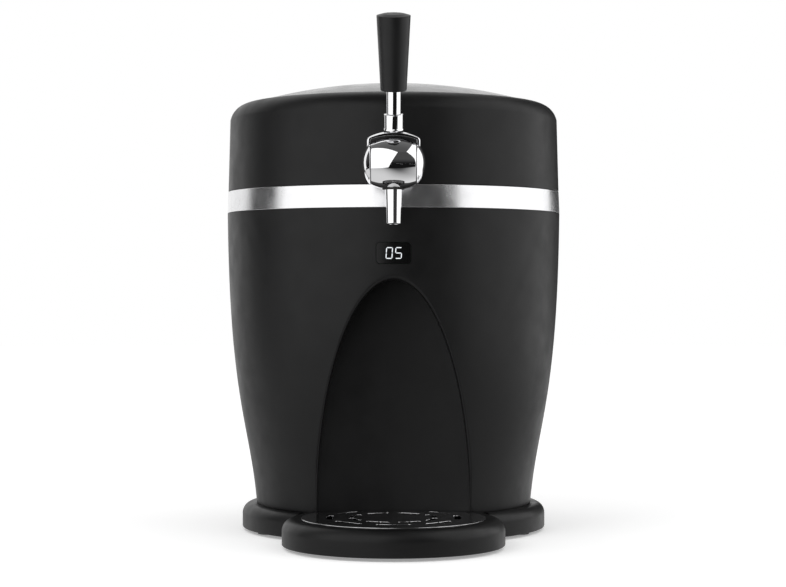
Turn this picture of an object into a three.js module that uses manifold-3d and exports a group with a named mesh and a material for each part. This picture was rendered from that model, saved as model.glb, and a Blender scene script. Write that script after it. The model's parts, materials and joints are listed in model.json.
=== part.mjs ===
// Mini keg beer dispenser: an insulated barrel for a 5 litre keg, cooled from behind,
// with a ball tap, a glass niche, a drip tray and a lifting lid.
// Millimetres, +Z up, front towards -Y. The origin is on the barrel's axis at table level.
import * as THREE from 'three';
import { mergeVertices } from 'three/addons/utils/BufferGeometryUtils.js';
import Module from 'manifold-3d';

const wasm = await Module();
wasm.setup();

// Clearances, walls and facets that many pieces share
const GAP = 0.3; // between pieces that touch
const WALL = 2.5; // moulded wall
const DOCK = 0.4; // round the tray in its dock
const CUT = 5; // how far a cut runs past the face that it opens
const SIDES = 32; // facets round the barrel
const HIDDEN_SIDES = 20; // facets of the inner faces
const SMALL_SIDES = 12; // facets round a small piece
const FINE_SIDES = 8; // facets round a screw or a boss
const THIN = 1.6; // circuit boards and flanges
const STEP = 1; // how far one piece of a solid runs into the next

// Barrel, plinth and band
const SKIRT_Z = 2.6; // underside of the plinth and of the tray
const BODY_Z = 23.5; // where the barrel stands on the plinth
const BODY_R = 145; // greatest radius, at the band
const FOOT_INSET = 25.4; // how much narrower the barrel is at its foot
const BODY_FOOT_R = BODY_R - FOOT_INSET;
const BODY_TOP_Z = 274.6;
const LOW_PULL = { inset: 19, z: 94.2 };
const HIGH_PULL = { inset: 1.8, z: 109.2 };
const PLINTH_STEP = 12.4; // plinth beyond the barrel's foot
const PLINTH_R = BODY_FOOT_R + PLINTH_STEP;
const PLINTH_FILLET = 9;
const BAND_H = 18.5;
const BAND_TAPER = 0.7;
const BAND_DEPTH = 1.9;
const BAND_TOP_R = BODY_R - BAND_TAPER;
const BAND_INNER_R = BODY_R - BAND_DEPTH;
const BAND_Z = BODY_TOP_Z + GAP;
const BAND_TOP_Z = BAND_Z + BAND_H;

// Upper housing and lid
const HOUSING_Z = BAND_TOP_Z + GAP;
const SHOULDER_FILLET = 18;
const SHOULDER_START = 0.2; // angle at which the side turns into the shoulder
const SHOULDER_W = 19.3;
const CREST_W = 2.4; // flat rim round the lid
const CREST_R = BAND_TOP_R - SHOULDER_W;
const HOUSING_H = 76.3;
const CREST_Z = HOUSING_Z + HOUSING_H;
const LEDGE_DEPTH = 3.2;
const LEDGE_Z = CREST_Z - LEDGE_DEPTH; // the lid rests here
const LID_R = CREST_R - CREST_W;
const LID_EDGE_Z = CREST_Z + GAP;
const DOME_RISE = 17.2;
const LID_TOP_Z = LID_EDGE_Z + DOME_RISE;
const DOME_R = ((LID_R - GAP) ** 2 + DOME_RISE ** 2) / (2 * DOME_RISE);
const DOME_CENTRE_Z = LID_TOP_Z - DOME_R;

// Keg well
const WELL_Y = 6; // the well sits behind the barrel's axis
const BARREL_DEPTH = 55; // shell, foam and cooling round the well
const WELL_R = BODY_R - BARREL_DEPTH; // outside of the cold sleeve
const SLEEVE_WALL = 1.5;
const SLEEVE_Z = 33.5;
const SLEEVE_RISE = 38.3; // above the housing's foot
const SLEEVE_TOP_Z = HOUSING_Z + SLEEVE_RISE;
const KEG_Z = 40; // the keg stands here
const COLLAR_R = WELL_R + 2 * STEP; // inside of the collar over the sleeve
const COLLAR_Z = SLEEVE_TOP_Z + STEP;

// Glass niche
const NICHE_HALF_W = 63.3;
const NICHE_TOP_Z = 216.4;
const NICHE_FOAM = 8.5; // from the niche's back to the cold sleeve
const NICHE_BACK_Y = WELL_Y - WELL_R - NICHE_FOAM;
const NICHE_BACK_R = 311.5; // the back wall is gently hollow

// Drip tray and grille
const TRAY_R = 90.2;
const TRAY_REACH = 23.1; // from the barrel's foot to the tray's middle
const TRAY_Y = -BODY_FOOT_R - TRAY_REACH;
const TRAY_TOP_Z = 24;
const TRAY_FILLET = 10;
const TRAY_FLOOR_Z = 8;
const GRILLE_R = 74.6;
const GRILLE_TOP_Z = 24.4; // a little proud of the tray's rim
const GRILLE_H = 2.2;
const GRILLE_LEDGE_W = 3.6; // under the grille's edge
// Rings of slots, as shares of the grille's radius
const SLOT_RINGS = [{ at: 0.456, wide: 0.0617, turn: Math.PI / 8 }, { at: 0.697, wide: 0.067, turn: 0 }];
const SLOT_COUNT = 8;
const SLOT_SWEEP = Math.PI / 7;

// Tap
const TAP_REACH = 24.4; // from the barrel to the drum's centre
const TAP_Y = -BODY_R - TAP_REACH;
const TAP_RISE = 15.2; // above the housing's foot
const TAP_Z = HOUSING_Z + TAP_RISE;
const BALL_R = 25.4;
const DRUM_HALF_W = 17.9;
const DRUM_MID_R = 21.45;
const DRUM_END_R = 17.6;
const LEVER_LEAN = THREE.MathUtils.degToRad(15);
const SPOUT_LEAN = THREE.MathUtils.degToRad(4);

// Rear cover
const COVER_HALF_W = 60;
const COVER_Z = 32;
const COVER_TOP_Z = 258;
const COVER_REACH = 3; // behind the barrel's greatest radius
const COVER_Y = BODY_R + COVER_REACH; // its flat rear face
const REAR_HALF_W = 46; // opening in the shell behind it
const REAR_Z = 38;
const REAR_TOP_Z = 204;
const FAN_Z = 152;
const COVER_CORNER = 10;
const COVER_SCREW_X = 52;
const COVER_SCREW_R = 1.5;
const coverScrews = [-1, 1].flatMap((side) => [COVER_Z + COVER_CORNER, COVER_TOP_Z - COVER_CORNER]
  .map((z) => [side * COVER_SCREW_X, z]));

const looks = {
  shell: { color: 0x17181a, roughness: 0.5, metalness: 0 },
  gloss: { color: 0x08090a, roughness: 0.12, metalness: 0 },
  steel: { color: 0xc9cacc, roughness: 0.32, metalness: 1 },
  chrome: { color: 0xe4e5e8, roughness: 0.06, metalness: 1 },
  alloy: { color: 0xb4b7ba, roughness: 0.45, metalness: 1 },
  foam: { color: 0xe6e2d8, roughness: 0.95, metalness: 0 },
  rubber: { color: 0x1b1b1c, roughness: 0.85, metalness: 0 },
  board: { color: 0x1d5a38, roughness: 0.6, metalness: 0 },
  white: { color: 0xe9eaec, roughness: 0.55, metalness: 0 },
};

const dispenser = new THREE.Group();

// A closed geometry as a solid that can be joined and cut
function solid(geometry) {
  const bare = geometry.clone();
  bare.deleteAttribute('normal');
  bare.deleteAttribute('uv');
  const merged = mergeVertices(bare);
  const vertProperties = merged.attributes.position.array;
  const triVerts = new Uint32Array(merged.index.array);
  return new wasm.Manifold(new wasm.Mesh({ numProp: 3, vertProperties, triVerts }));
}

// A solid back as a flat-shaded geometry
function geometryOf(shape) {
  const { vertProperties, triVerts } = shape.getMesh();
  const indexed = new THREE.BufferGeometry();
  indexed.setAttribute('position', new THREE.BufferAttribute(vertProperties, 3));
  indexed.setIndex(new THREE.BufferAttribute(triVerts, 1));
  const flat = indexed.toNonIndexed();
  flat.computeVertexNormals();
  return flat;
}

function add(name, shape, look, parent = dispenser) {
  const mesh = new THREE.Mesh(geometryOf(shape), new THREE.MeshStandardMaterial(looks[look]));
  mesh.name = name;
  parent.add(mesh);
  return mesh;
}

// A box between two limits on each axis
function block([x0, x1], [y0, y1], [z0, z1]) {
  const box = new THREE.BoxGeometry(x1 - x0, y1 - y0, z1 - z0);
  return solid(box.translate((x0 + x1) / 2, (y0 + y1) / 2, (z0 + z1) / 2));
}

// A round bar between two points, tapered if a second radius is given
function rod(from, to, radius, endRadius = radius, sides = SMALL_SIDES) {
  const start = new THREE.Vector3(...from);
  const run = new THREE.Vector3(...to).sub(start);
  const bar = new THREE.CylinderGeometry(endRadius, radius, run.length(), sides);
  bar.applyQuaternion(new THREE.Quaternion().setFromUnitVectors(
    new THREE.Vector3(0, 1, 0), run.clone().normalize()));
  const middle = start.addScaledVector(run, 1 / 2);
  return solid(bar.translate(middle.x, middle.y, middle.z));
}

function disc(radius, z0, z1, y = 0, sides = SIDES) {
  return rod([0, y, z0], [0, y, z1], radius, radius, sides);
}

// A profile of [radius, height] spun round +Z. The outer side runs up and the inner side down.
function revolve(profile, sides = SIDES) {
  const onAxis = profile[0][0] === 0;
  const closed = onAxis ? profile : [...profile, profile[0]];
  const points = closed.map(([r, z]) => new THREE.Vector2(r, z));
  return solid(new THREE.LatheGeometry(points, sides).rotateX(Math.PI / 2));
}

// Points on an arc round [r, z], angles from the outward direction
function arc([r, z], radius, from, to, steps) {
  return Array.from({ length: steps + 1 }, (_, i) => {
    const angle = from + (to - from) * i / steps;
    return [r + radius * Math.cos(angle), z + radius * Math.sin(angle)];
  });
}

// A plan outline raised between two heights
function prism(shape, z0, z1, curveSegments = 12) {
  const raised = new THREE.ExtrudeGeometry(shape, { depth: z1 - z0, bevelEnabled: false, curveSegments });
  return solid(raised.translate(0, 0, z0));
}

// A front-view outline run back from y0 to y1
function frontPrism(shape, y0, y1, curveSegments = 12) {
  const run = new THREE.ExtrudeGeometry(shape, { depth: y1 - y0, bevelEnabled: false, curveSegments });
  return solid(run.rotateX(Math.PI / 2).translate(0, y1, 0));
}

function roundedRect(width, height, corner, x = 0, y = 0) {
  const [left, right, low, high] = [x - width / 2, x + width / 2, y - height / 2, y + height / 2];
  const shape = new THREE.Shape();
  shape.moveTo(left + corner, low).lineTo(right - corner, low);
  shape.absarc(right - corner, low + corner, corner, -Math.PI / 2, 0);
  shape.absarc(right - corner, high - corner, corner, 0, Math.PI / 2);
  shape.absarc(left + corner, high - corner, corner, Math.PI / 2, Math.PI);
  shape.absarc(left + corner, low + corner, corner, Math.PI, Math.PI * 3 / 2);
  return shape;
}

function joined(pieces) {
  return pieces.reduce((whole, piece) => whole.add(piece));
}

function ring(inner, outer, z0, z1, y = 0, sides = SIDES) {
  return revolve([[outer, z0], [outer, z1], [inner, z1], [inner, z0]], sides).translate(0, y, 0);
}

// Barrel, housing, niche and tray spaces that the pieces are cut from
const ROOM = 2 * BODY_R; // reaches past every side of the barrel
const BARREL_STEPS = 5;
const INNER_STEPS = 3;
const SHOULDER_STEPS = 3;
const pulls = [LOW_PULL, HIGH_PULL].map(({ inset, z }) => new THREE.Vector2(BODY_R - inset, z));
const barrelCurve = new THREE.CubicBezierCurve(
  new THREE.Vector2(BODY_FOOT_R, BODY_Z), ...pulls, new THREE.Vector2(BODY_R, BODY_TOP_Z));

// The barrel's space, its side drawn in by an inset, between two heights
function barrelSpace(inset, z0, z1, sides = SIDES, steps = BARREL_STEPS) {
  const side = barrelCurve.getPoints(steps).map(({ x, y }) => [x - inset, y]);
  const low = Math.min(z0, BODY_Z - CUT);
  const high = Math.max(z1, BODY_TOP_Z + CUT);
  const foot = [[0, low], [BODY_FOOT_R - inset, low]];
  const whole = revolve([...foot, ...side, [BODY_R - inset, high], [0, high]], sides);
  return whole.intersect(block([-ROOM, ROOM], [-ROOM, ROOM], [z0, z1]));
}

// The barrel's outer radius at a height
function barrelRadius(z) {
  let [low, high] = [0, 1];
  while (high - low > 1e-6) {
    const t = (low + high) / 2;
    if (barrelCurve.getPoint(t).y < z) low = t;
    else high = t;
  }
  return barrelCurve.getPoint(low).x;
}

// Where a rear cover screw ends, just inside the barrel's wall
function screwEndY(x, z) {
  return Math.sqrt(barrelRadius(z) ** 2 - x ** 2) - WALL - COVER_SCREW_R;
}

function shoulder(inset, from = SHOULDER_START) {
  const centre = [CREST_R, CREST_Z - SHOULDER_FILLET];
  return arc(centre, SHOULDER_FILLET - inset, from, Math.PI / 2, SHOULDER_STEPS);
}

// The upper housing's outer form, grown by a clearance
function housingSpace(grow) {
  const low = HOUSING_Z - grow;
  return revolve([[0, low], [BAND_TOP_R + grow, low], ...shoulder(-grow), [0, CREST_Z + grow]]);
}

// The arch-shaped niche, grown by a wall or a clearance, open to the front and below
function nicheSpace(grow) {
  const halfWidth = NICHE_HALF_W + grow;
  const arch = new THREE.Shape();
  arch.moveTo(-halfWidth, -CUT).lineTo(halfWidth, -CUT).lineTo(halfWidth, BODY_Z);
  arch.absellipse(0, BODY_Z, halfWidth, NICHE_TOP_Z - BODY_Z + grow, 0, Math.PI);
  const centreY = NICHE_BACK_Y - NICHE_BACK_R;
  const reach = Math.asin((halfWidth + CUT) / NICHE_BACK_R);
  const plan = new THREE.Shape();
  plan.moveTo(-halfWidth - CUT, -ROOM).lineTo(halfWidth + CUT, -ROOM);
  plan.absarc(0, centreY, NICHE_BACK_R + grow, Math.PI / 2 - reach, Math.PI / 2 + reach);
  return frontPrism(arch, -ROOM, 0, 22).intersect(prism(plan, -2 * CUT, BODY_TOP_Z, 4));
}

// The tray's space: the lobe outside the barrel's foot, and the floor of the niche
function traySpace(inset, z0, z1) {
  const foot = disc(BODY_FOOT_R + DOCK + inset, z0 - CUT, z1 + CUT);
  const lobe = disc(TRAY_R - inset, z0, z1, TRAY_Y);
  return lobe.subtract(foot.subtract(nicheSpace(-DOCK - inset)));
}

// Base plate with the tongue that carries the tray, on five feet
const PLATE_Z = 2.2;
const PLATE_H = 3;
const PLATE_TOP_Z = PLATE_Z + PLATE_H;
const PLATE_R = PLINTH_R - WALL - GAP;
const TONGUE_HALF_W = 48;
const TONGUE_INSET = 17.9;
const TONGUE_Y = TRAY_Y - TRAY_R + TONGUE_INSET; // its front end
const FOOT_R = 10;
const FOOT_INWARD = 16; // from the plinth's edge to a foot's middle
const FOOT_PITCH_R = PLINTH_R - FOOT_INWARD;
const FOOT_H = 3.4;
const FRONT_FOOT_IN = 17; // from the tongue's end to the front foot's middle
const FRONT_FOOT_Y = TONGUE_Y + FRONT_FOOT_IN;
const footAngles = [-24, 204, 50, 130].map(THREE.MathUtils.degToRad);
const onCircle = (radius) => (angle) => [radius * Math.cos(angle), radius * Math.sin(angle)];
const feet = footAngles.map(onCircle(FOOT_PITCH_R));
feet.push([0, FRONT_FOOT_Y]);

const SCREW_R = 2;
const SCREW_HEAD_R = 4;
const SCREW_HEAD_H = 1.6;
const SCREW_INWARD = 8; // nearer the middle than the feet
const SCREW_PITCH_R = FOOT_PITCH_R - SCREW_INWARD;
const SCREW_TOP_Z = 36;
const BOSS_R = 5;
const screwAngles = [8, 172, 68, 112].map(THREE.MathUtils.degToRad);
const screws = screwAngles.map(onCircle(SCREW_PITCH_R));
const upright = (radius, z0, z1, [x, y], sides = FINE_SIDES) => (
  rod([x, y, z0], [x, y, z1], radius, radius, sides));

function basePlate() {
  const front = disc(TONGUE_HALF_W, PLATE_Z, PLATE_TOP_Z, TONGUE_Y + TONGUE_HALF_W, HIDDEN_SIDES);
  const tongue = block([-TONGUE_HALF_W, TONGUE_HALF_W], [TONGUE_Y + TONGUE_HALF_W, NICHE_BACK_Y + CUT],
    [PLATE_Z, PLATE_TOP_Z]);
  let plate = disc(PLATE_R, PLATE_Z, PLATE_TOP_Z)
    .subtract(traySpace(-GAP, PLATE_Z - CUT, PLATE_TOP_Z + CUT));
  plate = joined([plate, front, tongue]);
  for (const foot of feet) {
    plate = plate.subtract(upright(FOOT_R + GAP, PLATE_Z - CUT, FOOT_H + GAP, foot, SMALL_SIDES));
  }
  for (const screw of screws) {
    plate = plate.subtract(upright(SCREW_R + GAP, PLATE_Z - CUT, PLATE_TOP_Z + CUT, screw));
    const head = PLATE_Z + SCREW_HEAD_H + 2 * GAP;
    plate = plate.subtract(upright(SCREW_HEAD_R + GAP, PLATE_Z - CUT, head, screw));
  }
  return plate;
}

function baseScrew([x, y]) {
  const low = PLATE_Z + GAP;
  const head = upright(SCREW_HEAD_R, low, low + SCREW_HEAD_H, [x, y]);
  return head.add(upright(SCREW_R, low, SCREW_TOP_Z, [x, y]));
}

add('base_plate', basePlate(), 'shell');
feet.forEach((foot, i) => add(`foot_${i + 1}`, upright(FOOT_R, 0, FOOT_H, foot, SMALL_SIDES), 'rubber'));
screws.forEach((screw, i) => add(`base_screw_${i + 1}`, baseScrew(screw), 'steel'));

// Plinth: a hollow ring with a dock for the tray cut into its front
const PLINTH_TOP_Z = BODY_Z - GAP;
const PLINTH_HOLE_R = WELL_R - 2 * STEP;

function plinthSpace(inset) {
  const top = PLINTH_TOP_Z - inset;
  const centre = [PLINTH_R - PLINTH_FILLET, PLINTH_TOP_Z - PLINTH_FILLET];
  const edge = arc(centre, PLINTH_FILLET - inset, 0, Math.PI / 2, inset > 0 ? 2 : 3);
  const low = inset > 0 ? SKIRT_Z - CUT : SKIRT_Z;
  return revolve([[0, low], [PLINTH_R - inset, low], ...edge, [0, top]], inset > 0 ? HIDDEN_SIDES : SIDES);
}

function plinth() {
  const wallHeight = PLINTH_TOP_Z + CUT;
  const hollow = plinthSpace(WALL).subtract(traySpace(-GAP - WALL, SKIRT_Z - CUT, wallHeight));
  let body = plinthSpace(0).subtract(hollow);
  for (const screw of screws) body = body.add(upright(BOSS_R, PLATE_TOP_Z + GAP, PLINTH_TOP_Z, screw));
  body = body.subtract(traySpace(-GAP, SKIRT_Z - CUT, wallHeight));
  body = body.subtract(disc(PLINTH_HOLE_R, SKIRT_Z - CUT, wallHeight));
  body = body.subtract(disc(PLATE_R + GAP / 2, SKIRT_Z - CUT, PLATE_TOP_Z + GAP));
  for (const screw of screws) body = body.subtract(upright(SCREW_R + GAP, SKIRT_Z, wallHeight, screw));
  return body;
}

add('plinth', plinth(), 'shell');

// Barrel shell: floor flange, niche, rear opening, display hole and the neck under the band
const NECK_R = BAND_INNER_R - GAP;
const NECK_ROOT = 4; // how far the neck reaches down inside the wall
const FLANGE_W = 8;
const FLANGE_R = WELL_R + FLANGE_W;
const WINDOW_W = 28.1;
const WINDOW_H = 17.3;
const WINDOW_CORNER = 3;
const WINDOW_Z = 237.9;
const WINDOW_LIP = 3; // hidden flange round the pane
const WINDOW_BACK = 1.2;
const BOSS_TOP_Z = SCREW_TOP_Z + 2 * GAP;

function bodyShell() {
  const top = BODY_TOP_Z;
  const neck = revolve([[NECK_R + WALL / 4, top - NECK_ROOT], [NECK_R + WALL / 4, top], [NECK_R, top],
    [NECK_R, BAND_TOP_Z], [NECK_R - WALL, BAND_TOP_Z], [NECK_R - WALL, top - NECK_ROOT]]);
  const hollow = barrelSpace(WALL, BODY_Z + WALL, top + CUT, HIDDEN_SIDES, INNER_STEPS)
    .subtract(nicheSpace(WALL));
  let shell = barrelSpace(0, BODY_Z, top).subtract(hollow).add(neck);
  shell = shell.subtract(nicheSpace(0)).subtract(disc(FLANGE_R, BODY_Z - CUT, BODY_Z + WALL + CUT)
    .subtract(nicheSpace(WALL)));
  for (const screw of screws) {
    shell = shell.add(upright(BOSS_R, BODY_Z, BOSS_TOP_Z, screw));
    shell = shell.subtract(upright(SCREW_R + GAP, BODY_Z - CUT, BOSS_TOP_Z + CUT, screw));
  }
  shell = shell.subtract(block([-REAR_HALF_W, REAR_HALF_W], [WELL_R, ROOM], [REAR_Z, REAR_TOP_Z]));
  for (const [x, z] of coverScrews) {
    const hole = COVER_SCREW_R + GAP;
    shell = shell.subtract(rod([x, screwEndY(x, z) - CUT, z], [x, ROOM, z], hole, hole, FINE_SIDES));
  }
  const hole = roundedRect(WINDOW_W + 2 * GAP, WINDOW_H + 2 * GAP, WINDOW_CORNER, 0, WINDOW_Z);
  return shell.subtract(frontPrism(hole, -ROOM, -WELL_R, 4));
}

// The pane follows the barrel's curve and has a flange behind the wall
function displayWindow() {
  const back = WALL + GAP + WINDOW_BACK;
  const low = WINDOW_Z - WINDOW_H;
  const high = WINDOW_Z + WINDOW_H;
  const pane = barrelSpace(0, low, high).subtract(barrelSpace(back, low - CUT, high + CUT));
  const behind = barrelSpace(WALL + GAP, low, high, HIDDEN_SIDES, INNER_STEPS)
    .subtract(barrelSpace(back, low - CUT, high + CUT));
  const face = roundedRect(WINDOW_W, WINDOW_H, WINDOW_CORNER, 0, WINDOW_Z);
  const lip = 2 * WINDOW_LIP;
  const flange = roundedRect(WINDOW_W + lip, WINDOW_H + lip, WINDOW_CORNER, 0, WINDOW_Z);
  return pane.intersect(frontPrism(face, -ROOM, -WELL_R, 4))
    .add(behind.intersect(frontPrism(flange, -ROOM, -WELL_R, 4)));
}

add('body_shell', bodyShell(), 'shell');
add('display_window', displayWindow(), 'gloss');
add('trim_band', revolve([[BODY_R, BAND_Z], [BAND_TOP_R, BAND_TOP_Z], [BAND_INNER_R, BAND_TOP_Z],
  [BAND_INNER_R, BAND_Z]]), 'steel');

// Upper housing: a shell with a locating lip, and the lid's ledge with a rebate for the well's collar
const LIP_H = 9;
const LIP_R = NECK_R - WALL - GAP;
const LEDGE_W = 14;
const LEDGE_IN_R = COLLAR_R + LEDGE_W;
const REBATE_W = 4.5; // under the collar's flange
const SHANK_R = 8;
const NOTCH_HALF_W = 60; // front notch of the well, behind the tap
const NOTCH_H = 17; // above the collar's foot
const NOTCH_TOP_Z = COLLAR_Z + NOTCH_H;
const NOTCH_Z = HOUSING_Z - 2 * GAP;

function upperHousing() {
  const under = LEDGE_Z - WALL;
  const innerR = SHOULDER_FILLET - WALL;
  const meet = Math.asin((under - CREST_Z + SHOULDER_FILLET) / innerR);
  const inner = arc([CREST_R, CREST_Z - SHOULDER_FILLET], innerR, meet, SHOULDER_START, 2);
  const shelf = HOUSING_Z + WALL;
  const hollow = revolve(
    [[0, shelf], [BAND_TOP_R - WALL, shelf], ...inner.reverse(), [0, under]], HIDDEN_SIDES);
  const seat = disc(LID_R + GAP, LEDGE_Z, CREST_Z + CUT);
  const lip = ring(LIP_R - WALL, LIP_R, HOUSING_Z - LIP_H, shelf);
  const open = disc(LIP_R - WALL / 2, HOUSING_Z - CUT, shelf + CUT);
  const low = under - GAP - WALL;
  const rebate = ring(LEDGE_IN_R - REBATE_W, LEDGE_IN_R + WALL, low, low + WALL, 0, HIDDEN_SIDES)
    .add(ring(LEDGE_IN_R + STEP, LEDGE_IN_R + WALL, low, under + STEP, 0, HIDDEN_SIDES));
  return housingSpace(0).subtract(hollow).subtract(seat).subtract(open).add(lip)
    .subtract(disc(LEDGE_IN_R, under - CUT, LEDGE_Z + CUT, 0, HIDDEN_SIDES)).add(rebate)
    .subtract(rod([0, -ROOM, TAP_Z], [0, -WELL_R, TAP_Z], SHANK_R + GAP));
}

// The collar leads the keg into its sleeve. It hangs by its flange in the rebate.
function wellCollar() {
  const flange = disc(LEDGE_IN_R - GAP, LEDGE_Z - WALL, LEDGE_Z, 0, HIDDEN_SIDES);
  const notch = block([-NOTCH_HALF_W, NOTCH_HALF_W], [-ROOM, 0], [COLLAR_Z - CUT, NOTCH_TOP_Z]);
  return flange.add(disc(COLLAR_R + WALL, COLLAR_Z, LEDGE_Z, WELL_Y, HIDDEN_SIDES))
    .subtract(disc(COLLAR_R, COLLAR_Z - CUT, LEDGE_Z + CUT, WELL_Y, HIDDEN_SIDES)).subtract(notch);
}

add('upper_housing', upperHousing(), 'shell');
add('well_collar', wellCollar(), 'shell');

// Lid: a shallow dome on the ledge, its insulated liner and its seal, hinged at the rear
const LID_WALL = 2.5;
const LINER_R = LID_R - LID_WALL - 3 * GAP;
const PLUG_R = COLLAR_R - 2 * STEP;
const PLUG_END_R = PLUG_R - 6 * STEP;
const PLUG_RISE = 10; // above the sleeve
const PLUG_Z = SLEEVE_TOP_Z + PLUG_RISE;
const SEAL_W = 4;
const SEAL_R = LEDGE_IN_R - SEAL_W - STEP;
const SEAL_H = 2;
const HINGE_REACH = 9.4; // behind the lid's rim
const HINGE_RISE = 4.9;
const HINGE_Y = LID_R + HINGE_REACH;
const HINGE_Z = CREST_Z + HINGE_RISE;
const KNUCKLE_R = 4;
const KNUCKLE_HALF_W = 17;
const BRACKET_HALF_W = 27;
const BRACKET_D = 10; // from the hinge's axis to the rear
const PIN_R = 1.6;
const lidLow = LEDGE_Z + GAP;

// The dome's underside or top at a radius, the sphere drawn in by an inset
function dome(inset, radius, steps = 4) {
  const sphere = DOME_R - inset;
  const rim = Math.asin(radius / sphere);
  return arc([0, DOME_CENTRE_Z], sphere, Math.PI / 2 - rim, Math.PI / 2, steps);
}

function pinHole(halfWidth) {
  return rod([-halfWidth, HINGE_Y, HINGE_Z], [halfWidth, HINGE_Y, HINGE_Z], PIN_R + GAP);
}

function lidShell() {
  const inner = dome(LID_WALL, LID_R - LID_WALL, 2).reverse();
  const cap = revolve([[LID_R, lidLow], [LID_R, LID_EDGE_Z], ...dome(0, LID_R - GAP), ...inner,
    [LID_R - LID_WALL, lidLow]]);
  const knuckle = rod([-KNUCKLE_HALF_W, HINGE_Y, HINGE_Z], [KNUCKLE_HALF_W, HINGE_Y, HINGE_Z], KNUCKLE_R);
  const arm = block([-KNUCKLE_HALF_W, KNUCKLE_HALF_W], [LID_R - 2 * KNUCKLE_R, HINGE_Y],
    [HINGE_Z - KNUCKLE_R, HINGE_Z + KNUCKLE_R]);
  return joined([cap, knuckle, arm]).subtract(pinHole(BRACKET_HALF_W));
}

function lidLiner() {
  const top = dome(LID_WALL + 4 * GAP, LINER_R, 2);
  const upper = revolve([[0, lidLow], [LINER_R, lidLow], ...top], HIDDEN_SIDES);
  const plug = revolve(
    [[0, PLUG_Z], [PLUG_END_R, PLUG_Z], [PLUG_R, lidLow + GAP], [0, lidLow + GAP]], HIDDEN_SIDES);
  const groove = ring(
    SEAL_R - GAP, SEAL_R + SEAL_W + GAP, lidLow - CUT, lidLow + SEAL_H + GAP, 0, HIDDEN_SIDES);
  return upper.add(plug.translate(0, WELL_Y, 0)).subtract(groove);
}

// The bracket follows the shoulder behind the lid and holds two knuckles
function hingeBracket() {
  const { low, back } = { low: CREST_Z - SHOULDER_FILLET, back: HINGE_Y + BRACKET_D };
  const base = block([-BRACKET_HALF_W, BRACKET_HALF_W], [HINGE_Y - KNUCKLE_R, back], [low, HINGE_Z]);
  const outer = [-BRACKET_HALF_W, BRACKET_HALF_W].map((x) => rod(
    [x, HINGE_Y, HINGE_Z], [Math.sign(x) * (KNUCKLE_HALF_W + GAP), HINGE_Y, HINGE_Z], KNUCKLE_R));
  const clear = KNUCKLE_R + 2 * GAP;
  const swing = block([-KNUCKLE_HALF_W - GAP, KNUCKLE_HALF_W + GAP], [0, HINGE_Y + clear],
    [HINGE_Z - clear, HINGE_Z + KNUCKLE_R + CUT]);
  return joined([base, ...outer]).subtract(housingSpace(GAP)).subtract(swing)
    .subtract(disc(LID_R + 2 * GAP, lidLow, HINGE_Z + CUT)).subtract(pinHole(BRACKET_HALF_W + CUT));
}

add('lid', lidShell(), 'shell');
add('lid_liner', lidLiner(), 'white');
add('lid_seal', ring(SEAL_R, SEAL_R + SEAL_W, lidLow, lidLow + SEAL_H, 0, HIDDEN_SIDES), 'rubber');
add('hinge_bracket', hingeBracket(), 'shell');
add('hinge_pin', rod(
  [-BRACKET_HALF_W, HINGE_Y, HINGE_Z], [BRACKET_HALF_W, HINGE_Y, HINGE_Z], PIN_R), 'steel');

// Keg well: cold sleeve in its foam bucket, with the cradle that the keg stands on
const PAD_R = WELL_R + STEP; // foot of the bucket, which fills the hole in the shell's floor
const CRADLE_R = WELL_R - 6 * STEP;
const CRADLE_W = 22;
const FOAM_R = LIP_R - WALL - 3 * GAP;
const FOAM_INSET = WALL + 3 * STEP;
const FOAM_TOP_Z = SLEEVE_TOP_Z - STEP;

function kegSleeve() {
  const inner = WELL_R - SLEEVE_WALL;
  const floor = SLEEVE_Z + SLEEVE_WALL;
  const cup = revolve([[0, SLEEVE_Z], [WELL_R, SLEEVE_Z], [WELL_R, SLEEVE_TOP_Z], [inner, SLEEVE_TOP_Z],
    [inner, floor], [0, floor]], HIDDEN_SIDES).translate(0, WELL_Y, 0);
  return cup.subtract(block([-NOTCH_HALF_W, NOTCH_HALF_W], [-ROOM, 0], [NOTCH_Z, SLEEVE_TOP_Z + CUT]));
}

function foamSleeve() {
  const low = BODY_Z + WALL + GAP;
  const lower = barrelSpace(FOAM_INSET, low, HOUSING_Z - LIP_H - CUT, HIDDEN_SIDES, INNER_STEPS)
    .intersect(disc(FOAM_R, low, BODY_TOP_Z + CUT, 0, HIDDEN_SIDES));
  let foam = lower.add(disc(FOAM_R, BODY_TOP_Z - CUT, FOAM_TOP_Z, 0, HIDDEN_SIDES));
  foam = foam.add(disc(PAD_R, BODY_Z, SLEEVE_Z, WELL_Y, HIDDEN_SIDES));
  foam = foam.subtract(disc(WELL_R + GAP, SLEEVE_Z - GAP, FOAM_TOP_Z + CUT, WELL_Y, HIDDEN_SIDES));
  foam = foam.subtract(nicheSpace(WALL + GAP));
  const rear = [COVER_Z + CUT, REAR_TOP_Z];
  foam = foam.subtract(block([-REAR_HALF_W, REAR_HALF_W], [WELL_R / 2, ROOM], rear));
  const boards = [NICHE_TOP_Z + WALL + CUT, BODY_TOP_Z - CUT];
  foam = foam.subtract(block([-BOARD_HALF_W - CUT, BOARD_HALF_W + CUT], [-ROOM, BOARD_Y + CUT], boards));
  foam = foam.subtract(block([-NOTCH_HALF_W, NOTCH_HALF_W], [-ROOM, 0], [NOTCH_Z, FOAM_TOP_Z + CUT]));
  for (const screw of screws) {
    foam = foam.subtract(upright(BOSS_R + GAP, low - CUT, BOSS_TOP_Z + GAP, screw));
  }
  return foam;
}

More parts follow.
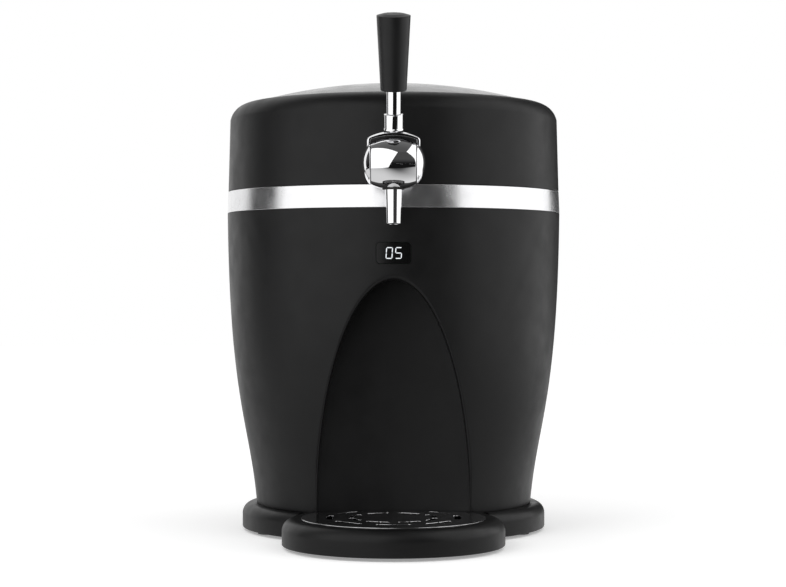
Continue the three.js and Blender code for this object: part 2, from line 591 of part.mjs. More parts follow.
// Display and its control board behind the pane
const PANE_SAG = 2.2; // the pane's curve, from its middle to its sides
const paneBackY = -(barrelRadius(WINDOW_Z) - WALL - GAP - WINDOW_BACK);
const MODULE_W = 25;
const MODULE_H = 13;
const MODULE_D = 6;
const MODULE_Y = paneBackY + PANE_SAG;
const BOARD_HALF_W = 26;
const BOARD_HALF_H = 17;
const BOARD_Y = MODULE_Y + MODULE_D + GAP;
const BOARD_RISE = 3;
const BOARD_Z = WINDOW_Z + BOARD_RISE;

function controlBoard() {
  const board = block([-BOARD_HALF_W, BOARD_HALF_W], [BOARD_Y, BOARD_Y + THIN],
    [BOARD_Z - BOARD_HALF_H, BOARD_Z + BOARD_HALF_H]);
  const chip = block([-MODULE_W / 4, MODULE_W / 4], [BOARD_Y, BOARD_Y + 2 * THIN],
    [BOARD_Z, BOARD_Z + MODULE_H / 2]);
  return board.add(chip);
}

add('keg_sleeve', kegSleeve(), 'alloy');
add('insulation_sleeve', foamSleeve(), 'foam');
add('keg_cradle', ring(
  CRADLE_R - CRADLE_W, CRADLE_R, SLEEVE_Z + SLEEVE_WALL + GAP, KEG_Z, WELL_Y, HIDDEN_SIDES), 'shell');
add('display_module', block([-MODULE_W / 2, MODULE_W / 2], [MODULE_Y, MODULE_Y + MODULE_D],
  [WINDOW_Z - MODULE_H / 2, WINDOW_Z + MODULE_H / 2]), 'shell');
add('control_board', controlBoard(), 'board');

// Drip tray: a hollow moulding with a basin, open below at the rear for the tongue
const BASIN_R = GRILLE_R - GRILLE_LEDGE_W;
const BASIN_WALL_R = GRILLE_R + GAP + WALL;

function lobe(inset) {
  const centre = [TRAY_R - TRAY_FILLET, TRAY_TOP_Z - TRAY_FILLET];
  const edge = arc(centre, TRAY_FILLET - inset, 0, Math.PI / 2, inset > 0 ? 2 : 3);
  const low = inset > 0 ? SKIRT_Z - CUT : SKIRT_Z;
  const sides = inset > 0 ? HIDDEN_SIDES : SIDES;
  const profile = [[0, low], [TRAY_R - inset, low], ...edge, [0, TRAY_TOP_Z - inset]];
  return revolve(profile, sides).translate(0, TRAY_Y, 0);
}

function dripTray() {
  const above = TRAY_TOP_Z + CUT;
  const under = lobe(WALL).intersect(traySpace(WALL, SKIRT_Z - CUT, above))
    .subtract(disc(BASIN_WALL_R, TRAY_FLOOR_Z - WALL, above, TRAY_Y));
  const basin = disc(BASIN_R, TRAY_FLOOR_Z, above, TRAY_Y)
    .intersect(traySpace(WALL + GRILLE_LEDGE_W, 0, above));
  const seat = disc(GRILLE_R + GAP, GRILLE_TOP_Z - GRILLE_H - GAP, above, TRAY_Y)
    .intersect(traySpace(WALL, 0, above));
  const half = TONGUE_HALF_W + GAP;
  const slot = block([-half, half], [TONGUE_Y - GAP, 0], [0, PLATE_TOP_Z + GAP]);
  return lobe(0).intersect(traySpace(0, SKIRT_Z, above))
    .subtract(under).subtract(basin).subtract(seat).subtract(slot);
}

// An arc-shaped slot with round ends
function arcSlot(radius, width, middle) {
  const [from, to] = [middle - SLOT_SWEEP / 2, middle + SLOT_SWEEP / 2];
  const slot = new THREE.Shape();
  slot.absarc(0, 0, radius + width / 2, from, to);
  slot.absarc(...onCircle(radius)(to), width / 2, to, to + Math.PI);
  slot.absarc(0, 0, radius - width / 2, to, from, true);
  slot.absarc(...onCircle(radius)(from), width / 2, from + Math.PI, from + 2 * Math.PI);
  return prism(slot, GRILLE_TOP_Z - GRILLE_H - CUT, GRILLE_TOP_Z + CUT, 2).translate(0, TRAY_Y, 0);
}

function dripGrille() {
  const plate = disc(GRILLE_R, GRILLE_TOP_Z - GRILLE_H, GRILLE_TOP_Z, TRAY_Y);
  const rear = NICHE_BACK_Y - DOCK - 2 * WALL;
  let grille = plate.intersect(traySpace(WALL + GAP, 0, GRILLE_TOP_Z + CUT));
  for (const { at, wide, turn } of SLOT_RINGS) {
    const [radius, width] = [at * GRILLE_R, wide * GRILLE_R];
    for (let i = 0; i < SLOT_COUNT; i += 1) {
      const middle = turn + i * 2 * Math.PI / SLOT_COUNT;
      const reach = TRAY_Y + (radius + width) * Math.sin(Math.min(middle + SLOT_SWEEP / 2, Math.PI / 2));
      const behind = middle > 0 && middle < Math.PI && reach > rear;
      if (!behind) grille = grille.subtract(arcSlot(radius, width, middle));
    }
  }
  return grille;
}

add('drip_tray', dripTray(), 'shell');
add('drip_grille', dripGrille(), 'chrome');

// Tap body: shank through the wall, escutcheon, crowned drum with its cross bore, and spout
const DRUM_STEPS = 4;
const TAP_SIDES = 24;
const CORE_R = 9;
const SHANK_BORE_R = 3;
const SHANK_L = 44.4; // from the drum's centre
const BARB_L = 17;
const SHANK_END_Y = TAP_Y + SHANK_L;
const BARB_R = 4.5;
const BARB_END_Y = SHANK_END_Y + BARB_L;
const ESCUTCHEON_R = 14.5;
const ESCUTCHEON_H = 4.1; // in front of the housing
const ESCUTCHEON_Y = -BAND_TOP_R - ESCUTCHEON_H;
const NUT_R = 12;
const NUT_H = 8;
const WASHER_R = 12.4;
const WASHER_H = 2;
const WALL_SAG = 2.7; // the housing wall's curve across the washer
const SPOUT_TOP_R = 6.85;
const SPOUT_END_R = 5.9;
const SPOUT_WALL = 1.7;
const RECESS_R = 9.05;
const RECESS_DROP = 19.1; // below the drum's centre
const RECESS_Z = TAP_Z - RECESS_DROP;
const SPOUT_L = 29.5;
const SPOUT_END_Z = RECESS_Z - SPOUT_L;
const SEAL_INNER_R = 7.2;
const SPOUT_SEAL_H = 2;
const washerY = -(BAND_TOP_R - WALL - WALL_SAG);

// A crowned profile of [radius, x] between the ends of the drum, spun round the X axis
function crown(middleR, endR, halfWidth) {
  const sag = middleR - endR;
  const radius = (halfWidth ** 2 + sag ** 2) / (2 * sag);
  const reach = Math.asin(halfWidth / radius);
  return arc([middleR - radius, 0], radius, -reach, reach, DRUM_STEPS);
}

function drumSpace(grow) {
  const side = crown(DRUM_MID_R + grow, DRUM_END_R + grow, DRUM_HALF_W);
  const barrel = revolve([[0, -DRUM_HALF_W], ...side, [0, DRUM_HALF_W]], TAP_SIDES);
  return barrel.rotate([0, 90, 0]).translate(0, TAP_Y, TAP_Z);
}

function tapDrum() {
  const reach = DRUM_HALF_W + CUT;
  const rear = TAP_Y + DRUM_MID_R;
  return drumSpace(0)
    .subtract(rod([-reach, TAP_Y, TAP_Z], [reach, TAP_Y, TAP_Z], CORE_R + GAP, CORE_R + GAP, HIDDEN_SIDES))
    .subtract(rod([0, rear - CUT, TAP_Z], [0, rear + CUT, TAP_Z], SHANK_R + GAP))
    .subtract(rod([0, TAP_Y, TAP_Z], [0, rear, TAP_Z], SHANK_BORE_R))
    .subtract(rod([0, TAP_Y, TAP_Z - DRUM_MID_R - CUT], [0, TAP_Y, RECESS_Z], RECESS_R))
    .subtract(rod([0, TAP_Y, RECESS_Z - CUT], [0, TAP_Y, TAP_Z], SHANK_BORE_R));
}

function tapShank() {
  const front = TAP_Y + DRUM_MID_R - CUT + GAP;
  return rod([0, front, TAP_Z], [0, SHANK_END_Y, TAP_Z], SHANK_R)
    .add(rod([0, SHANK_END_Y - CUT, TAP_Z], [0, BARB_END_Y, TAP_Z], BARB_R))
    .subtract(rod([0, front - CUT, TAP_Z], [0, BARB_END_Y + CUT, TAP_Z], SHANK_BORE_R));
}

// A collar on the shank between two places along Y
function shankCollar(radius, y0, y1, sides = HIDDEN_SIDES) {
  return rod([0, y0, TAP_Z], [0, y1, TAP_Z], radius, radius, sides)
    .subtract(rod([0, y0 - CUT, TAP_Z], [0, y1 + CUT, TAP_Z], SHANK_R + GAP));
}

function spout() {
  const top = RECESS_Z - 3 * GAP;
  const lean = Math.tan(SPOUT_LEAN);
  const place = (z) => [0, TAP_Y - (top - z) * lean, z];
  const end = place(SPOUT_END_Z);
  return rod(place(top), end, SPOUT_TOP_R, SPOUT_END_R, 24)
    .subtract(rod(
      place(top + CUT), place(SPOUT_END_Z - CUT), SPOUT_TOP_R - SPOUT_WALL, SPOUT_END_R - SPOUT_WALL));
}

add('tap_drum', tapDrum(), 'chrome');
add('tap_shank', tapShank(), 'steel');
add('tap_escutcheon', shankCollar(ESCUTCHEON_R, ESCUTCHEON_Y, washerY).subtract(housingSpace(GAP))
  .subtract(drumSpace(GAP)), 'chrome');
add('shank_washer', shankCollar(WASHER_R, washerY, washerY + WASHER_H), 'rubber');
add('shank_nut', shankCollar(NUT_R, washerY + WASHER_H + GAP, washerY + WASHER_H + NUT_H, 6), 'steel');
add('spout', spout(), 'chrome');
add('spout_seal', ring(
  SEAL_INNER_R, RECESS_R - GAP, RECESS_Z - SPOUT_SEAL_H, RECESS_Z - GAP, TAP_Y, SMALL_SIDES), 'rubber');

// Lever: side caps, the yoke over the drum with its sleeve, rod and conical handle.
// It is drawn upright round the drum's centre and leans forward as a group.
const lever = new THREE.Group();
lever.position.set(0, TAP_Y, TAP_Z);
lever.rotation.x = LEVER_LEAN;
dispenser.add(lever);

const YOKE_HALF_W = 21.2;
const YOKE_TOP_R = 27;
const YOKE_CORNER_R = 22.9;
const YOKE_ROOM = 3.3; // between the drum and the strap
const STRAP_HALF = 4.3;
const YOKE_SLEEVE_R = 7.75;
const COLLAR_FLARE = 0.7;
const SLEEVE_END = 39.3; // along the lever from the drum's centre
const LEVER_ROD_R = 5.85;
const HANDLE_BASE = 58.2;
const HANDLE_TOP = 119.2;
const HANDLE_BASE_R = 10.35;
const HANDLE_TOP_R = 13.45;
const STUD_R = 3;
const STUD_L = 13;
const along = (from, to, radius, endRadius = radius, sides = HIDDEN_SIDES) => (
  rod([0, 0, from], [0, 0, to], radius, endRadius, sides));

function ball(radius) {
  return solid(new THREE.SphereGeometry(radius, 24, 12).rotateZ(Math.PI / 2));
}

function sideCap(side) {
  const inner = DRUM_HALF_W + GAP;
  const [x0, x1] = [side * inner, side * (BALL_R + CUT)].sort((a, b) => a - b);
  return ball(BALL_R).intersect(block([x0, x1], [-ROOM, ROOM], [-ROOM, ROOM]));
}

function leverYoke() {
  const capR = (x) => Math.sqrt(BALL_R ** 2 - x ** 2);
  const top = crown(YOKE_TOP_R, YOKE_CORNER_R, YOKE_HALF_W - STEP);
  const under = crown(DRUM_MID_R + YOKE_ROOM, DRUM_END_R + YOKE_ROOM, DRUM_HALF_W + GAP).reverse();
  const foot = capR(YOKE_HALF_W) - STEP;
  const profile = [[foot, -YOKE_HALF_W], [YOKE_CORNER_R - STEP, -YOKE_HALF_W], ...top,
    [YOKE_CORNER_R - STEP, YOKE_HALF_W], [foot, YOKE_HALF_W], [foot, DRUM_HALF_W + GAP], ...under,
    [foot, -DRUM_HALF_W - GAP]];
  const hoop = revolve(profile, 24).rotate([0, 90, 0]);
  const strap = hoop.intersect(block([-ROOM, ROOM], [-STRAP_HALF, STRAP_HALF], [0, ROOM]));
  const caps = ball(BALL_R + GAP)
    .subtract(block([-DRUM_HALF_W, DRUM_HALF_W], [-ROOM, ROOM], [-ROOM, ROOM]));
  const neck = along(YOKE_TOP_R - STEP, SLEEVE_END, YOKE_SLEEVE_R)
    .add(along(YOKE_TOP_R - STEP, YOKE_TOP_R + STEP, YOKE_SLEEVE_R + COLLAR_FLARE));
  return strap.subtract(caps).add(neck)
    .subtract(along(SLEEVE_END - STUD_L, SLEEVE_END + CUT, STUD_R + GAP));
}

add('valve_core', rod(
  [-DRUM_HALF_W, 0, 0], [DRUM_HALF_W, 0, 0], CORE_R, CORE_R, HIDDEN_SIDES), 'steel', lever);
add('side_cap_left', sideCap(-1), 'chrome', lever);
add('side_cap_right', sideCap(1), 'chrome', lever);
add('lever_yoke', leverYoke(), 'chrome', lever);
add('lever_rod', along(SLEEVE_END + GAP, HANDLE_BASE - GAP, LEVER_ROD_R)
  .add(along(SLEEVE_END - STUD_L + GAP, HANDLE_BASE + STUD_L - GAP, STUD_R)), 'chrome', lever);
add('tap_handle', along(HANDLE_BASE, HANDLE_TOP, HANDLE_BASE_R, HANDLE_TOP_R, 32)
  .subtract(along(HANDLE_BASE - CUT, HANDLE_BASE + STUD_L, STUD_R + GAP)), 'shell', lever);

// Beer line: a half turn in front of the keg, from the barb to the adaptor parked in its clip
const HOSE_R = 2.9;
const HOSE_STEPS = 18;
const ADAPTOR_X = 48;
const ADAPTOR_R = 9;
const ADAPTOR_L = 24;
const ADAPTOR_DEPTH = 8; // how much further in than the barb it ends
const STEM_L = 8;
const CLIP_L = 10;
const CLIP_GAP = 3;
const CLIP_WALL = 1.8;
const LOOP_Y = 22; // from the barb's end to the middle of the bend
const LOOP_SAG = 5;
const hoseStartY = BARB_END_Y + GAP;
const adaptorEndY = BARB_END_Y + ADAPTOR_DEPTH;
const stemEndY = adaptorEndY + STEM_L;
const loopR = ADAPTOR_X / 2;
const loopTurns = [180, 150, 120, 90, 60, 30, 0].map(THREE.MathUtils.degToRad);
const hosePoints = [
  [0, hoseStartY, TAP_Z],
  ...loopTurns.map((turn) => [
    loopR * (1 + Math.cos(turn)),
    BARB_END_Y + LOOP_Y + loopR * Math.sin(turn),
    TAP_Z - GAP - LOOP_SAG * Math.sin(turn),
  ]),
  [ADAPTOR_X, stemEndY + GAP, TAP_Z],
].map((point) => new THREE.Vector3(...point));
const alongAdaptor = (radius, y0, y1, sides = SMALL_SIDES) => rod(
  [ADAPTOR_X, y0, TAP_Z], [ADAPTOR_X, y1, TAP_Z], radius, radius, sides);

function beerHose() {
  const section = new THREE.Shape().absarc(0, 0, HOSE_R, 0, 2 * Math.PI);
  const extrudePath = new THREE.CatmullRomCurve3(hosePoints, false, 'catmullrom', 1 / 2);
  const options = { extrudePath, steps: HOSE_STEPS, curveSegments: 6 };
  const tube = solid(new THREE.ExtrudeGeometry(section, options));
  const before = block([-ROOM, ADAPTOR_X / 2], [-ROOM, hoseStartY], [0, 2 * ROOM]);
  const beyond = block([ADAPTOR_X / 2, ROOM], [-ROOM, stemEndY + GAP], [0, 2 * ROOM]);
  return tube.subtract(before).subtract(beyond);
}

// The clip stands on the cold sleeve's foam, in the well's front notch
function adaptorClip() {
  const start = adaptorEndY - CLIP_GAP - CLIP_L;
  const outer = ADAPTOR_R + GAP + CLIP_WALL;
  const post = block([ADAPTOR_X - ADAPTOR_R, ADAPTOR_X + ADAPTOR_R], [start, start + CLIP_L],
    [NOTCH_Z + GAP, TAP_Z - ADAPTOR_R / 2]);
  return alongAdaptor(outer, start, start + CLIP_L).add(post)
    .subtract(alongAdaptor(ADAPTOR_R + GAP, start - CUT, start + CLIP_L + CUT))
    .subtract(block([0, ROOM], [-ROOM, ROOM], [TAP_Z + ADAPTOR_R / 2, 2 * ROOM]));
}

add('beer_hose', beerHose(), 'white');
const alongHose = (radius, y0, y1) => rod([0, y0, TAP_Z], [0, y1, TAP_Z], radius);
add('hose_clip', alongHose(HOSE_R + CLIP_WALL, hoseStartY + CLIP_GAP, hoseStartY + 2 * CLIP_GAP)
  .subtract(alongHose(HOSE_R + GAP, hoseStartY, hoseStartY + 3 * CLIP_GAP)), 'steel');
add('keg_adaptor', alongAdaptor(ADAPTOR_R, adaptorEndY - ADAPTOR_L, adaptorEndY)
  .add(alongAdaptor(HOSE_R, adaptorEndY - STEP, stemEndY)), 'shell');
add('adaptor_clip', adaptorClip(), 'white');

// Cooling: block on the cold sleeve, thermoelectric module, heat sink and fan, back to back
const SINK_HALF = 40;
const BLOCK_HALF = 22;
const COOLER_D = 40; // block's rear face to the cover's
const BLOCK_Y = COVER_Y - COOLER_D;
const MODULE_HALF = 20;
const TEC_H = 3.8;
const SINK_BASE_H = 5;
const SINK_H = 18;
const FIN_W = 1.4;
const FIN_COUNT = 13;
const FAN_D = 11;
const FAN_HOLE_R = 37;
const HUB_R = 12;
const STRUT_H = 2.2;
const BLADE_COUNT = 7;
const BLADE_W = 1.6;
const BLADE_PITCH = THREE.MathUtils.degToRad(38);
const SPINDLE_R = 2;
const tecY = BLOCK_Y + GAP;
const sinkY = tecY + TEC_H + GAP;
const fanY = sinkY + SINK_H + GAP;
const fanEndY = fanY + FAN_D;
const strutY = fanEndY - STRUT_H;
const square = (half, y0, y1, z = FAN_Z) => block([-half, half], [y0, y1], [z - half, z + half]);
const onAxisY = (radius, y0, y1, sides) => rod([0, y0, FAN_Z], [0, y1, FAN_Z], radius, radius, sides);

function heatSink() {
  let sink = square(SINK_HALF, sinkY, sinkY + SINK_BASE_H);
  for (let i = 0; i < FIN_COUNT; i += 1) {
    const x = -SINK_HALF + (2 * SINK_HALF - FIN_W) * i / (FIN_COUNT - 1);
    sink = sink.add(block([x, x + FIN_W], [sinkY, sinkY + SINK_H], [FAN_Z - SINK_HALF, FAN_Z + SINK_HALF]));
  }
  return sink;
}

function fanFrame() {
  const frame = square(SINK_HALF, fanY, fanEndY)
    .subtract(onAxisY(FAN_HOLE_R, fanY - CUT, fanEndY + CUT, SIDES));
  const plate = onAxisY(HUB_R, strutY, fanEndY, SMALL_SIDES);
  const struts = [0, 1].map((turn) => block([-FAN_HOLE_R - STEP, FAN_HOLE_R + STEP], [strutY, fanEndY],
    [-SPINDLE_R, SPINDLE_R])
    .rotate([0, 45 + 90 * turn, 0]).translate(0, 0, FAN_Z));
  const spindle = onAxisY(SPINDLE_R, fanY + 2 * STEP, fanEndY, FINE_SIDES);
  return joined([frame, plate, ...struts, spindle]);
}

function fanRotor() {
  const end = strutY - 2 * GAP;
  const start = fanY + STEP;
  const blade = block([-BLADE_W / 2, BLADE_W / 2], [start + STEP, end - STEP],
    [HUB_R - STEP, FAN_HOLE_R - 1.5 * STEP]);
  const middle = (start + end) / 2;
  let rotor = onAxisY(HUB_R, start, end, SMALL_SIDES);
  for (let i = 0; i < BLADE_COUNT; i += 1) {
    rotor = rotor.add(blade.translate(0, -middle, 0).rotate([0, 0, THREE.MathUtils.radToDeg(BLADE_PITCH)])
      .rotate([0, 360 * i / BLADE_COUNT, 0]).translate(0, middle, FAN_Z));
  }
  return rotor.intersect(block([-ROOM, ROOM], [start, end], [0, ROOM]))
    .subtract(onAxisY(SPINDLE_R + GAP, fanY, end + CUT, FINE_SIDES));
}

const SENSOR_Z = 184;
const SENSOR_HALF_W = 4;
const sleeveCut = disc(WELL_R + GAP, SLEEVE_Z, SLEEVE_TOP_Z, WELL_Y, SIDES);
const wellBackY = WELL_Y + WELL_R / 2; // inside the sleeve, where its outside cuts these pieces
add('cold_block', square(BLOCK_HALF, wellBackY, BLOCK_Y).subtract(sleeveCut), 'alloy');
add('cooling_module', square(MODULE_HALF, tecY, tecY + TEC_H), 'white');
add('heat_sink', heatSink(), 'alloy');
add('fan_frame', fanFrame(), 'shell');
add('fan_rotor', fanRotor(), 'shell');
add('temp_sensor', block([-SENSOR_HALF_W, SENSOR_HALF_W], [wellBackY, WELL_Y + WELL_R + 2 * SENSOR_HALF_W],
  [SENSOR_Z, SENSOR_Z + 3 * SENSOR_HALF_W]).subtract(sleeveCut), 'shell');

// Rear cover with louvres, power inlet and switch
const LOUVRE_H = 4;
const LOUVRE_PITCH = 9;
const LOUVRE_COUNT = 9;
const LOUVRE_HALF_W = 42;
const INLET_X = 26;
const INLET_Z = 52;
const INLET_W = 24;
const INLET_H = 15;
const INLET_D = 16;
const FLANGE_LIP = 2.5;
const PIN_PITCH = 8.6;
const INLET_PIN_R = 1.2;
const POCKET_R = 4.1;
const POCKET_D = 12;
const WAIST = 3.3; // half the height between the two pockets
const COVER_BOSS_R = 4;
const ROCKER_W = 11;
const ROCKER_H = 16;
const ROCKER_TILT = THREE.MathUtils.degToRad(8);
const coverMiddleZ = (COVER_Z + COVER_TOP_Z) / 2;

function coverSpace(inset) {
  const [width, height] = [2 * (COVER_HALF_W - inset), COVER_TOP_Z - COVER_Z - 2 * inset];
  const outline = roundedRect(width, height, COVER_CORNER - inset, 0, coverMiddleZ);
  return frontPrism(outline, WELL_R, COVER_Y - inset, 4);
}

function rearCover() {
  const throughCover = ([x, z], radius, from, to = COVER_Y + CUT) => (
    rod([x, from, z], [x, to, z], radius, radius, FINE_SIDES));
  let cover = coverSpace(0).subtract(coverSpace(WALL));
  for (const screw of coverScrews) cover = cover.add(throughCover(screw, COVER_BOSS_R, WELL_R, COVER_Y));
  cover = cover.subtract(barrelSpace(-GAP, BODY_Z - CUT, BODY_TOP_Z + CUT));
  for (const screw of coverScrews) {
    cover = cover.subtract(throughCover(screw, COVER_SCREW_R + GAP, WELL_R));
    cover = cover.subtract(throughCover(screw, 2 * COVER_SCREW_R + GAP, COVER_Y - THIN - GAP));
  }
  for (let i = 0; i < LOUVRE_COUNT; i += 1) {
    const z = FAN_Z + (i - (LOUVRE_COUNT - 1) / 2) * LOUVRE_PITCH;
    cover = cover.subtract(block([-LOUVRE_HALF_W, LOUVRE_HALF_W], [fanEndY, COVER_Y + CUT],
      [z - LOUVRE_H / 2, z + LOUVRE_H / 2]));
  }
  const holes = [[INLET_X, INLET_W, INLET_H], [-INLET_X, ROCKER_W + 2 * THIN, ROCKER_H + 2 * THIN]];
  for (const [x, width, height] of holes) {
    cover = cover.subtract(block([x - width / 2 - GAP, x + width / 2 + GAP], [fanEndY, COVER_Y + CUT],
      [INLET_Z - height / 2 - GAP, INLET_Z + height / 2 + GAP]));
  }
  return cover;
}

function coverScrew([x, z]) {
  const end = COVER_Y - GAP;
  return rod([x, screwEndY(x, z), z], [x, end, z], COVER_SCREW_R, COVER_SCREW_R, FINE_SIDES)
    .add(rod([x, end - THIN, z], [x, end, z], 2 * COVER_SCREW_R, 2 * COVER_SCREW_R, FINE_SIDES));
}

// A flanged box in the cover's rear face, centred on x
function panelBox(x, width, height, depth) {
  const box = ([w, h], y0, y1) => (
    block([x - w / 2, x + w / 2], [y0, y1], [INLET_Z - h / 2, INLET_Z + h / 2]));
  const lip = 2 * FLANGE_LIP;
  return box([width, height], COVER_Y - depth, COVER_Y + GAP + THIN)
    .add(box([width + lip, height + lip], COVER_Y + GAP, COVER_Y + GAP + THIN));
}

function powerInlet() {
  const mouth = COVER_Y + GAP + THIN;
  const sides = [-1, 1].map((side) => INLET_X + side * PIN_PITCH / 2);
  const at = (x, y0, y1, radius) => rod([x, y0, INLET_Z], [x, y1, INLET_Z], radius, radius, SMALL_SIDES);
  let inlet = panelBox(INLET_X, INLET_W, INLET_H, INLET_D);
  for (const x of sides) inlet = inlet.subtract(at(x, mouth - POCKET_D, mouth + CUT, POCKET_R));
  const middle = block([sides[0], sides[1]], [mouth - POCKET_D, mouth + CUT],
    [INLET_Z - WAIST, INLET_Z + WAIST]);
  inlet = inlet.subtract(middle);
  for (const x of sides) inlet = inlet.add(at(x, mouth - POCKET_D - CUT / 2, mouth - THIN, INLET_PIN_R));
  return inlet;
}

function switchFrame() {
  const mouth = COVER_Y + GAP + THIN;
  const [w, h] = [ROCKER_W / 2 + GAP, ROCKER_H / 2 + GAP];
  return panelBox(-INLET_X, ROCKER_W + 2 * THIN, ROCKER_H + 2 * THIN, INLET_D)
    .subtract(block(
      [-INLET_X - w, -INLET_X + w], [mouth - POCKET_D, mouth + CUT], [INLET_Z - h, INLET_Z + h]));
}

// The rocker tilts about its own pivot inside the frame. At rest it is off.
const rocker = new THREE.Group();
const ROCKER_R = ROCKER_H / 2;
rocker.position.set(-INLET_X, COVER_Y + GAP + THIN - ROCKER_R, INLET_Z);
rocker.rotation.x = -ROCKER_TILT;
dispenser.add(rocker);

function rockerSolid() {
  const half = ROCKER_W / 2;
  const drum = rod([-half, 0, 0], [half, 0, 0], ROCKER_R, ROCKER_R, 24);
  const face = block([-half, half], [ROCKER_R - THIN, ROCKER_R + THIN], [-ROCKER_R, ROCKER_R]);
  const back = block([-half, half], [-ROCKER_R, -ROCKER_R / 4], [-ROCKER_R, ROCKER_R]);
  return drum.subtract(face).subtract(back);
}

add('rear_cover', rearCover(), 'shell');
coverScrews.forEach((screw, i) => add(`cover_screw_${i + 1}`, coverScrew(screw), 'steel'));
add('power_inlet', powerInlet(), 'shell');
add('switch_frame', switchFrame(), 'shell');
add('switch_rocker', rockerSolid(), 'shell', rocker);

// Power supply board on the base plate
const SUPPLY_W = 96;
const SUPPLY_D = 56;
const SUPPLY_Y = 34; // behind the middle
const supplyZ = PLATE_TOP_Z + GAP;
const supply = block([-SUPPLY_W / 2, SUPPLY_W / 2], [SUPPLY_Y - SUPPLY_D / 2, SUPPLY_Y + SUPPLY_D / 2],
  [supplyZ, supplyZ + THIN]);
const COIL_W = 26;
const COIL_H = 12;
const CAN_R = 5;
const coil = block([-COIL_W / 2, COIL_W / 2], [SUPPLY_Y - COIL_W / 2, SUPPLY_Y + COIL_W / 2],
  [supplyZ, supplyZ + COIL_H]);
const cans = [-1, 1].map((side) => (
  upright(CAN_R, supplyZ, supplyZ + COIL_H, [side * SUPPLY_W / 3, SUPPLY_Y])));
add('power_board', joined([supply, coil, ...cans]), 'board');

export default dispenser;
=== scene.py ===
# %% [markdown]
# # A mini keg beer dispenser
# An insulated barrel holds a 5 litre keg. A chrome ball tap stands on its front over a tall
# arched niche, and a lobe-shaped drip tray sits in front of the plinth.
# This lesson starts by loading the CAD model. Every piece made here
# goes exactly where the CAD has it, in metres, +Z up, with the front towards -Y.

# %% Load the CAD model
import json
from math import asin, cos, hypot, pi, radians, sin, sqrt, tan

import bmesh
import bpy
from mathutils import Matrix, Vector
from mathutils.geometry import interpolate_bezier

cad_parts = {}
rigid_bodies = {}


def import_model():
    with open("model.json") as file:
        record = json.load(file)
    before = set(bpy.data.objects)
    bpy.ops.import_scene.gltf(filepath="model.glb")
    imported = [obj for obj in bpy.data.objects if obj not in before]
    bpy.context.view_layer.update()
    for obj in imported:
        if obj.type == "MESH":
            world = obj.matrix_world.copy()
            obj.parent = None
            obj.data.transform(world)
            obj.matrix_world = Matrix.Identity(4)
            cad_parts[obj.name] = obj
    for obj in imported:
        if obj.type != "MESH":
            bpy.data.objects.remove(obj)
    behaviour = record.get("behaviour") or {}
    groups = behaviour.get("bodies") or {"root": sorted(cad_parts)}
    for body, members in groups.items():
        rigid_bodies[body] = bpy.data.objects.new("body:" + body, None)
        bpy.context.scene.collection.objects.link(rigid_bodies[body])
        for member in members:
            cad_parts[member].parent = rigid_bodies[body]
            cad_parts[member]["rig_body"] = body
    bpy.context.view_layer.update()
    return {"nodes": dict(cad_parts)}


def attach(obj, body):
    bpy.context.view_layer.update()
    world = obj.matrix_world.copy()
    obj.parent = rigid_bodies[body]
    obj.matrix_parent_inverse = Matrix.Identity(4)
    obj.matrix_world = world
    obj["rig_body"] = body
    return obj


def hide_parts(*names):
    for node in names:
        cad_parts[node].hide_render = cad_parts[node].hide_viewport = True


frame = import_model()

# %% [markdown]
# ## Camera
# The product was shot from the front with a long lens, level with the middle of the barrel.
# The camera stands 1.79 m away, and a small shift frames the object as the photograph does.


# %% Camera
def new_object(name, data):
    """An object in the scene's own collection."""
    thing = bpy.data.objects.new(name, data)
    bpy.context.scene.collection.objects.link(thing)
    return thing


camera = new_object("camera", bpy.data.cameras.new("camera"))
camera.location = (0, -1.793, 0.207)
camera.rotation_euler = (pi / 2, 0, 0)
camera.data.sensor_width, camera.data.lens = 36, 93.62
camera.data.shift_x, camera.data.shift_y = -0.0007, -0.0028
camera.data.clip_start, camera.data.clip_end = 0.05, 60
bpy.context.scene.camera = camera
bpy.context.scene.view_settings.view_transform = "Standard"
print("camera", tuple(camera.location), "lens", camera.data.lens)

# %% [markdown]
# ## The beer line
# A soft tube carries the beer from the tap's shank to the adaptor that clicks onto the keg. With
# no keg inside, the adaptor is parked in its clip, and the tube makes one half turn in front of
# the keg's place. A tube like this is a curve with a round bevel: one path, and one radius.

# %% Beer line from the barb to the adaptor
MM = 0.001
LINE_R = 2.9
BARB = Vector((0, -107.4, 308.9))
BEND_R, BEND_Y, BEND_SAG, BEND_STEPS = 24, -85.7, 5, 14
ADAPTOR_END = Vector((48, -91.4, 308.9))
bend = [(BEND_R * (1 - cos(a)), BEND_Y + BEND_R * sin(a), BARB.z - 0.3 - BEND_SAG * sin(a))
        for a in (pi * i / BEND_STEPS for i in range(BEND_STEPS + 1))]
line_path = [BARB, BARB + Vector((0, 7, 0)), BARB + Vector((0, 14, -0.1))] + bend + [ADAPTOR_END]
line_curve = bpy.data.curves.new("beer_line", "CURVE")
line_curve.dimensions = "3D"
line_curve.bevel_depth = 1  # times each point's radius
line_curve.bevel_resolution = 6
line_curve.resolution_u = 4
spline = line_curve.splines.new("NURBS")
spline.points.add(len(line_path) - 1)
for point, place in zip(spline.points, line_path):
    point.co = (*(Vector(place) * MM), 1)
    point.radius = LINE_R * MM
spline.order_u = 3
spline.use_endpoint_u = True
beer_line = new_object("beer_line", line_curve)
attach(beer_line, "cabinet")
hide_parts("beer_hose")

# %% [markdown]
# ## Light and room
# Chrome shows the room it stands in. The world is white, as in a light tent, and some dark and
# grey cards stand in front, as in a studio, to draw dark lines on the metal. The cards are seen
# only in reflections, so that the light on the object stays soft and plain.
#
# All of it is built from nodes, so small helpers for nodes come first.


